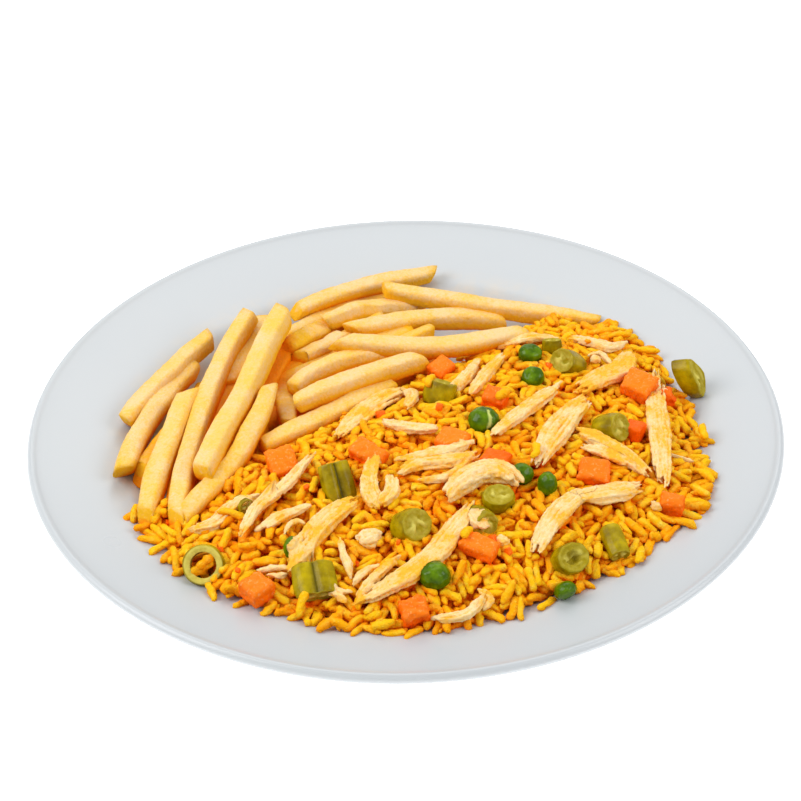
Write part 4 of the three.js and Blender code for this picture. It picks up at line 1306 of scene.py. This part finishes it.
boiled_chicken, start = new_finish("boiled_chicken", {
    "Subsurface Weight": 0.15, "Subsurface Radius": (1.0, 0.55, 0.2), "Subsurface Scale": 0.0015,
    "Specular IOR Level": 0.25})
place = place_on_piece(start)
grain_way = start.node("ShaderNodeAttribute", {"attribute_name": "along_fibre"}, output="Vector")
stretched = grain_way.node("ShaderNodeVectorMath", {"operation": "MULTIPLY"}, {
    0: grain_way, 1: (0.3, 1.0, 1.0)}, "Vector")
streaks = speckle(stretched, 1500, 3.0, 0.6)
thick_streaks = speckle(stretched, 620, 2.0)
grains_on = speckle(place, 900, 3.0, 0.6)
blotches = speckle(place, 110, 3.0, 0.6)
cream = tinted(spread(streaks * 0.5 + grains_on * 0.5, 0.42, 0.6), CHICKEN_CREAM, CHICKEN_WHITE)
stained = spread(blotches * 0.7 + thick_streaks * 0.25 + grains_on * 0.35, 0.62, 0.78, 0.0, 0.95)
# Painted shade where a shred lies low between the things around it.
shade_in_gap = value_of(start, "gap_shade")
# Painted shade in the hollows of a shred.
hollow = spread(start.node("ShaderNodeNewGeometry", output="Pointiness"), 0.5, 0.44)
soaked = value_of(start, "soaked")
# The real yellow stains and the painted shade in the hollows share one colour.
stain_and_hollow_shade = spread(hollow * 0.7 + stained + soaked * spread(blotches, 0.3, 0.55, 0.3, 1.0), 0.0, 1.0)
feed(boiled_chicken, "Base Color", tinted(shade_in_gap, tinted(stain_and_hollow_shade, cream, CHICKEN_STAIN_AND_SHADE), CHICKEN_GAP_SHADE))
feed(boiled_chicken, "Roughness", spread(streaks, 0.3, 0.7, 0.42, 0.68))
fibres = relief(streaks, THIN_FIBRE_RELIEF, relief(thick_streaks, THICK_FIBRE_RELIEF))
feed(boiled_chicken, "Normal", relief(grains_on, CHICKEN_GRAIN_RELIEF, fibres))


def beside_strand(points, path, close):
    """Where points are by a strand: along it, and across and up from its middle line."""
    along, across, outward = frame_along(path)
    offset = points - path[close]
    length = np.concatenate([[0], np.cumsum(np.linalg.norm(np.diff(path, axis=0), axis=1))])
    return np.stack([length[close] + (offset * along[close]).sum(1),
                     (offset * across[close]).sum(1), (offset * outward[close]).sum(1)], 1)


def shred(name, strands, random):
    """One shred: its fibres fused, roughened along their length, with the way that they run."""
    points, faces = [], []
    for strand in strands:
        for fibre_points, fibre_faces in fibres_of(strand, random):
            faces.extend(tuple(corner + len(points) for corner in face) for face in fibre_faces)
            points.extend(fibre_points)
    points, normals, faces = fused(points, faces, SHRED_VOXEL, 1)
    paths = [middle_line(strand, RUN_STEPS) for strand in strands]
    nearest = [np.linalg.norm(points[:, None, :2] - path[:, :2], axis=2).argmin(1) for path in paths]
    away = [np.linalg.norm(points - path[close], axis=1) for path, close in zip(paths, nearest)]
    which = np.argmin(away, 0)
    seed = random.uniform(0, 500)
    run, shift, weight = np.zeros((len(points), 3)), np.zeros(len(points)), np.zeros(len(points))
    for number, (path, close) in enumerate(zip(paths, nearest)):
        local = beside_strand(points, path, close)
        run[which == number] = local[which == number]
        share = np.clip(1.5 - (away[number] - np.min(away, 0)), 0, 1.5)
        for point in np.flatnonzero(share):
            s, u, v = local[point]
            spot = Vector((s * 0.22 + seed, u * 1.3, v * 1.3 + 3 * number))
            shift[point] += share[point] * noise.fractal(spot, 0.9, 2.0, 3)
        weight += share
    points = uneven(points + normals * (shift / weight)[:, None] * 0.3, normals, 1.2, 0.24, seed)
    points = pressed(points)
    soaked = np.array([strand.get("soaked", LITTLE_SOAKED) for strand in strands])[which]
    # How low each point lies, for the painted shade in the gaps.
    piece = new_piece(name, points, faces, boiled_chicken, {
        "gap_shade": 0.8 * gap_shade(points, wide_around, 0.0, SHRED_GAP_DEPTH), "soaked": soaked})
    piece.data.attributes.new("along_fibre", "FLOAT_VECTOR", "POINT").data.foreach_set(
        "vector", (run * MM + (seed * MM, 0, 0)).ravel().astype("f"))
    return piece


shred_random = np.random.default_rng(21)
for index, strands in enumerate(SHREDS):
    piece = shred(f"chicken_shred_{index + 1:02d}", strands, shred_random)
    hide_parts(f"chicken_{index + 1:02d}")

# The scraps: threads and flakes of the same chicken that came off in the pulling, and lie on
# the rice between the shreds. They are too fine for solids of their own, and together are one
# piece, with rows as for the shreds.
SCRAPS = (
    {"way": ((19.7, -59.9), (22.1, -64.3), (25.1, -67.4)), "wide": 4.6, "over": 4.2},
    {"way": ((-15.5, -69.5), (-11.8, -68.4), (-8.5, -69.5)), "wide": 5.6, "over": 2.2, "strand": 2.2},
    {"way": ((-38.4, -65.2), (-37.8, -61.5), (-36.0, -59.3), (-33.8, -59.6), (-31.8, -61.2)),
     "wide": 1.5, "over": 3},
    {"way": ((-47.4, -76.5), (-41.4, -76.2), (-35.4, -77.2)), "wide": 1.7, "over": 2.2},
    {"way": ((-44.2, -78.3), (-40.4, -79.3), (-36.4, -79.0)), "wide": 1.4, "over": 2.2},
    {"way": ((-21.2, -66.9), (-20.2, -73.1), (-18.7, -77.8), (-17.8, -84.5)), "wide": 2.2, "over": 2.4},
    {"way": ((-24.5, -84.9), (-20.6, -87.1), (-16.8, -87.7)), "wide": 1.4, "over": 2.2},
    {"way": ((-17.5, -85.9), (-15.6, -83.2), (-12.5, -80.6), (-8.4, -79.3)), "wide": 1.8, "over": 2.6},
    {"way": ((86.4, -22.8), (91.3, -24.6), (95.5, -23.9)), "wide": 1.3, "over": 2.0},
    {"way": ((63.8, 27.4), (68.5, 30.6), (70.6, 27.0), (72.6, 22.9)), "wide": 2.0, "over": 2.4},
    {"way": ((-48.4, -61.2), (-44.0, -57.4), (-40.3, -54.6), (-34.6, -52.9)), "wide": 2.0, "over": 2.4},
    {"way": ((20.7, -87.4), (24.6, -90.7), (22.2, -94.8)), "wide": 2.0, "over": 2.0},
    {"way": ((-18.7, -91.7), (-22.1, -88.3), (-25.2, -87.0)), "wide": 1.8, "over": 2.2},
    {"way": ((27.5, -69.0), (29.6, -70.5), (31.6, -69.4)), "wide": 3.2, "over": 2.6},
    {"way": ((78.2, -48.6), (79.9, -50.2), (81.4, -49.2)), "wide": 2.6, "over": 2.4},
    {"way": ((64.8, 24.6), (66.5, 26.0), (68.4, 25.4)), "wide": 2.4, "over": 2.4},
)

shred("chicken_scraps", SCRAPS, shred_random)

# The crumbs: bits of the carrot that broke off in the pan, lying low in the rice. Each row is
# where one lies and its size.
CRUMBS = (
    (11.5, -8.0, 3.4), (-8.2, -4.2, 3.6), (57.1, 32.6, 3.8), (26.2, -69.4, 3.0), (-77.1, -47.2, 2.6),
    (-59.1, -65.6, 2.2), (31.0, -74.0, 2.6), (-32.0, -45.0, 2.4), (45.0, -4.0, 2.2), (-16.0, -75.0, 2.0),
    (3.0, -38.0, 2.2), (66.0, -29.5, 2.0), (-3.0, -70.5, 2.0), (50.0, 21.0, 2.4), (-53.0, -76.0, 2.0),
)
CRUMB_VOXEL = 0.3
CRUMB_ROUNDS = 4
CRUMB_HALVES = (0.28, 0.5)
CRUMB_REDNESS = 0.6
BLOCK_CORNERS = [(i, j, k) for i in (-1, 1) for j in (-1, 1) for k in (-1, 1)]
BLOCK_FACES = (
    (0, 1, 3, 2), (4, 6, 7, 5), (0, 4, 5, 1), (2, 3, 7, 6), (0, 2, 6, 4), (1, 5, 7, 3),
)

crumb_random = np.random.default_rng(3)
crumb_points, crumb_faces = [], []
for x, y, size in CRUMBS:
    block = np.array(BLOCK_CORNERS) * crumb_random.uniform(*CRUMB_HALVES, 3)
    middle = np.array([x, y, heap[tuple(cell_of((x, y)))] + 0.2 * size])
    way = Matrix.Rotation(crumb_random.uniform(0, 3), 3, Vector(crumb_random.normal(0, 1, 3)))
    first = len(crumb_points)
    crumb_points.extend(block @ np.array(way).T * size + middle)
    crumb_faces.extend(tuple(first + corner for corner in face) for face in BLOCK_FACES)
crumb_points, normals, crumb_faces = fused(crumb_points, crumb_faces, CRUMB_VOXEL, CRUMB_ROUNDS)
crumb_points = uneven(crumb_points, normals, 1.4, 0.25, 77)
crumbs = new_piece("carrot_crumbs", crumb_points, crumb_faces, boiled_carrot, {
    "redness": np.full(len(crumb_points), CRUMB_REDNESS)})
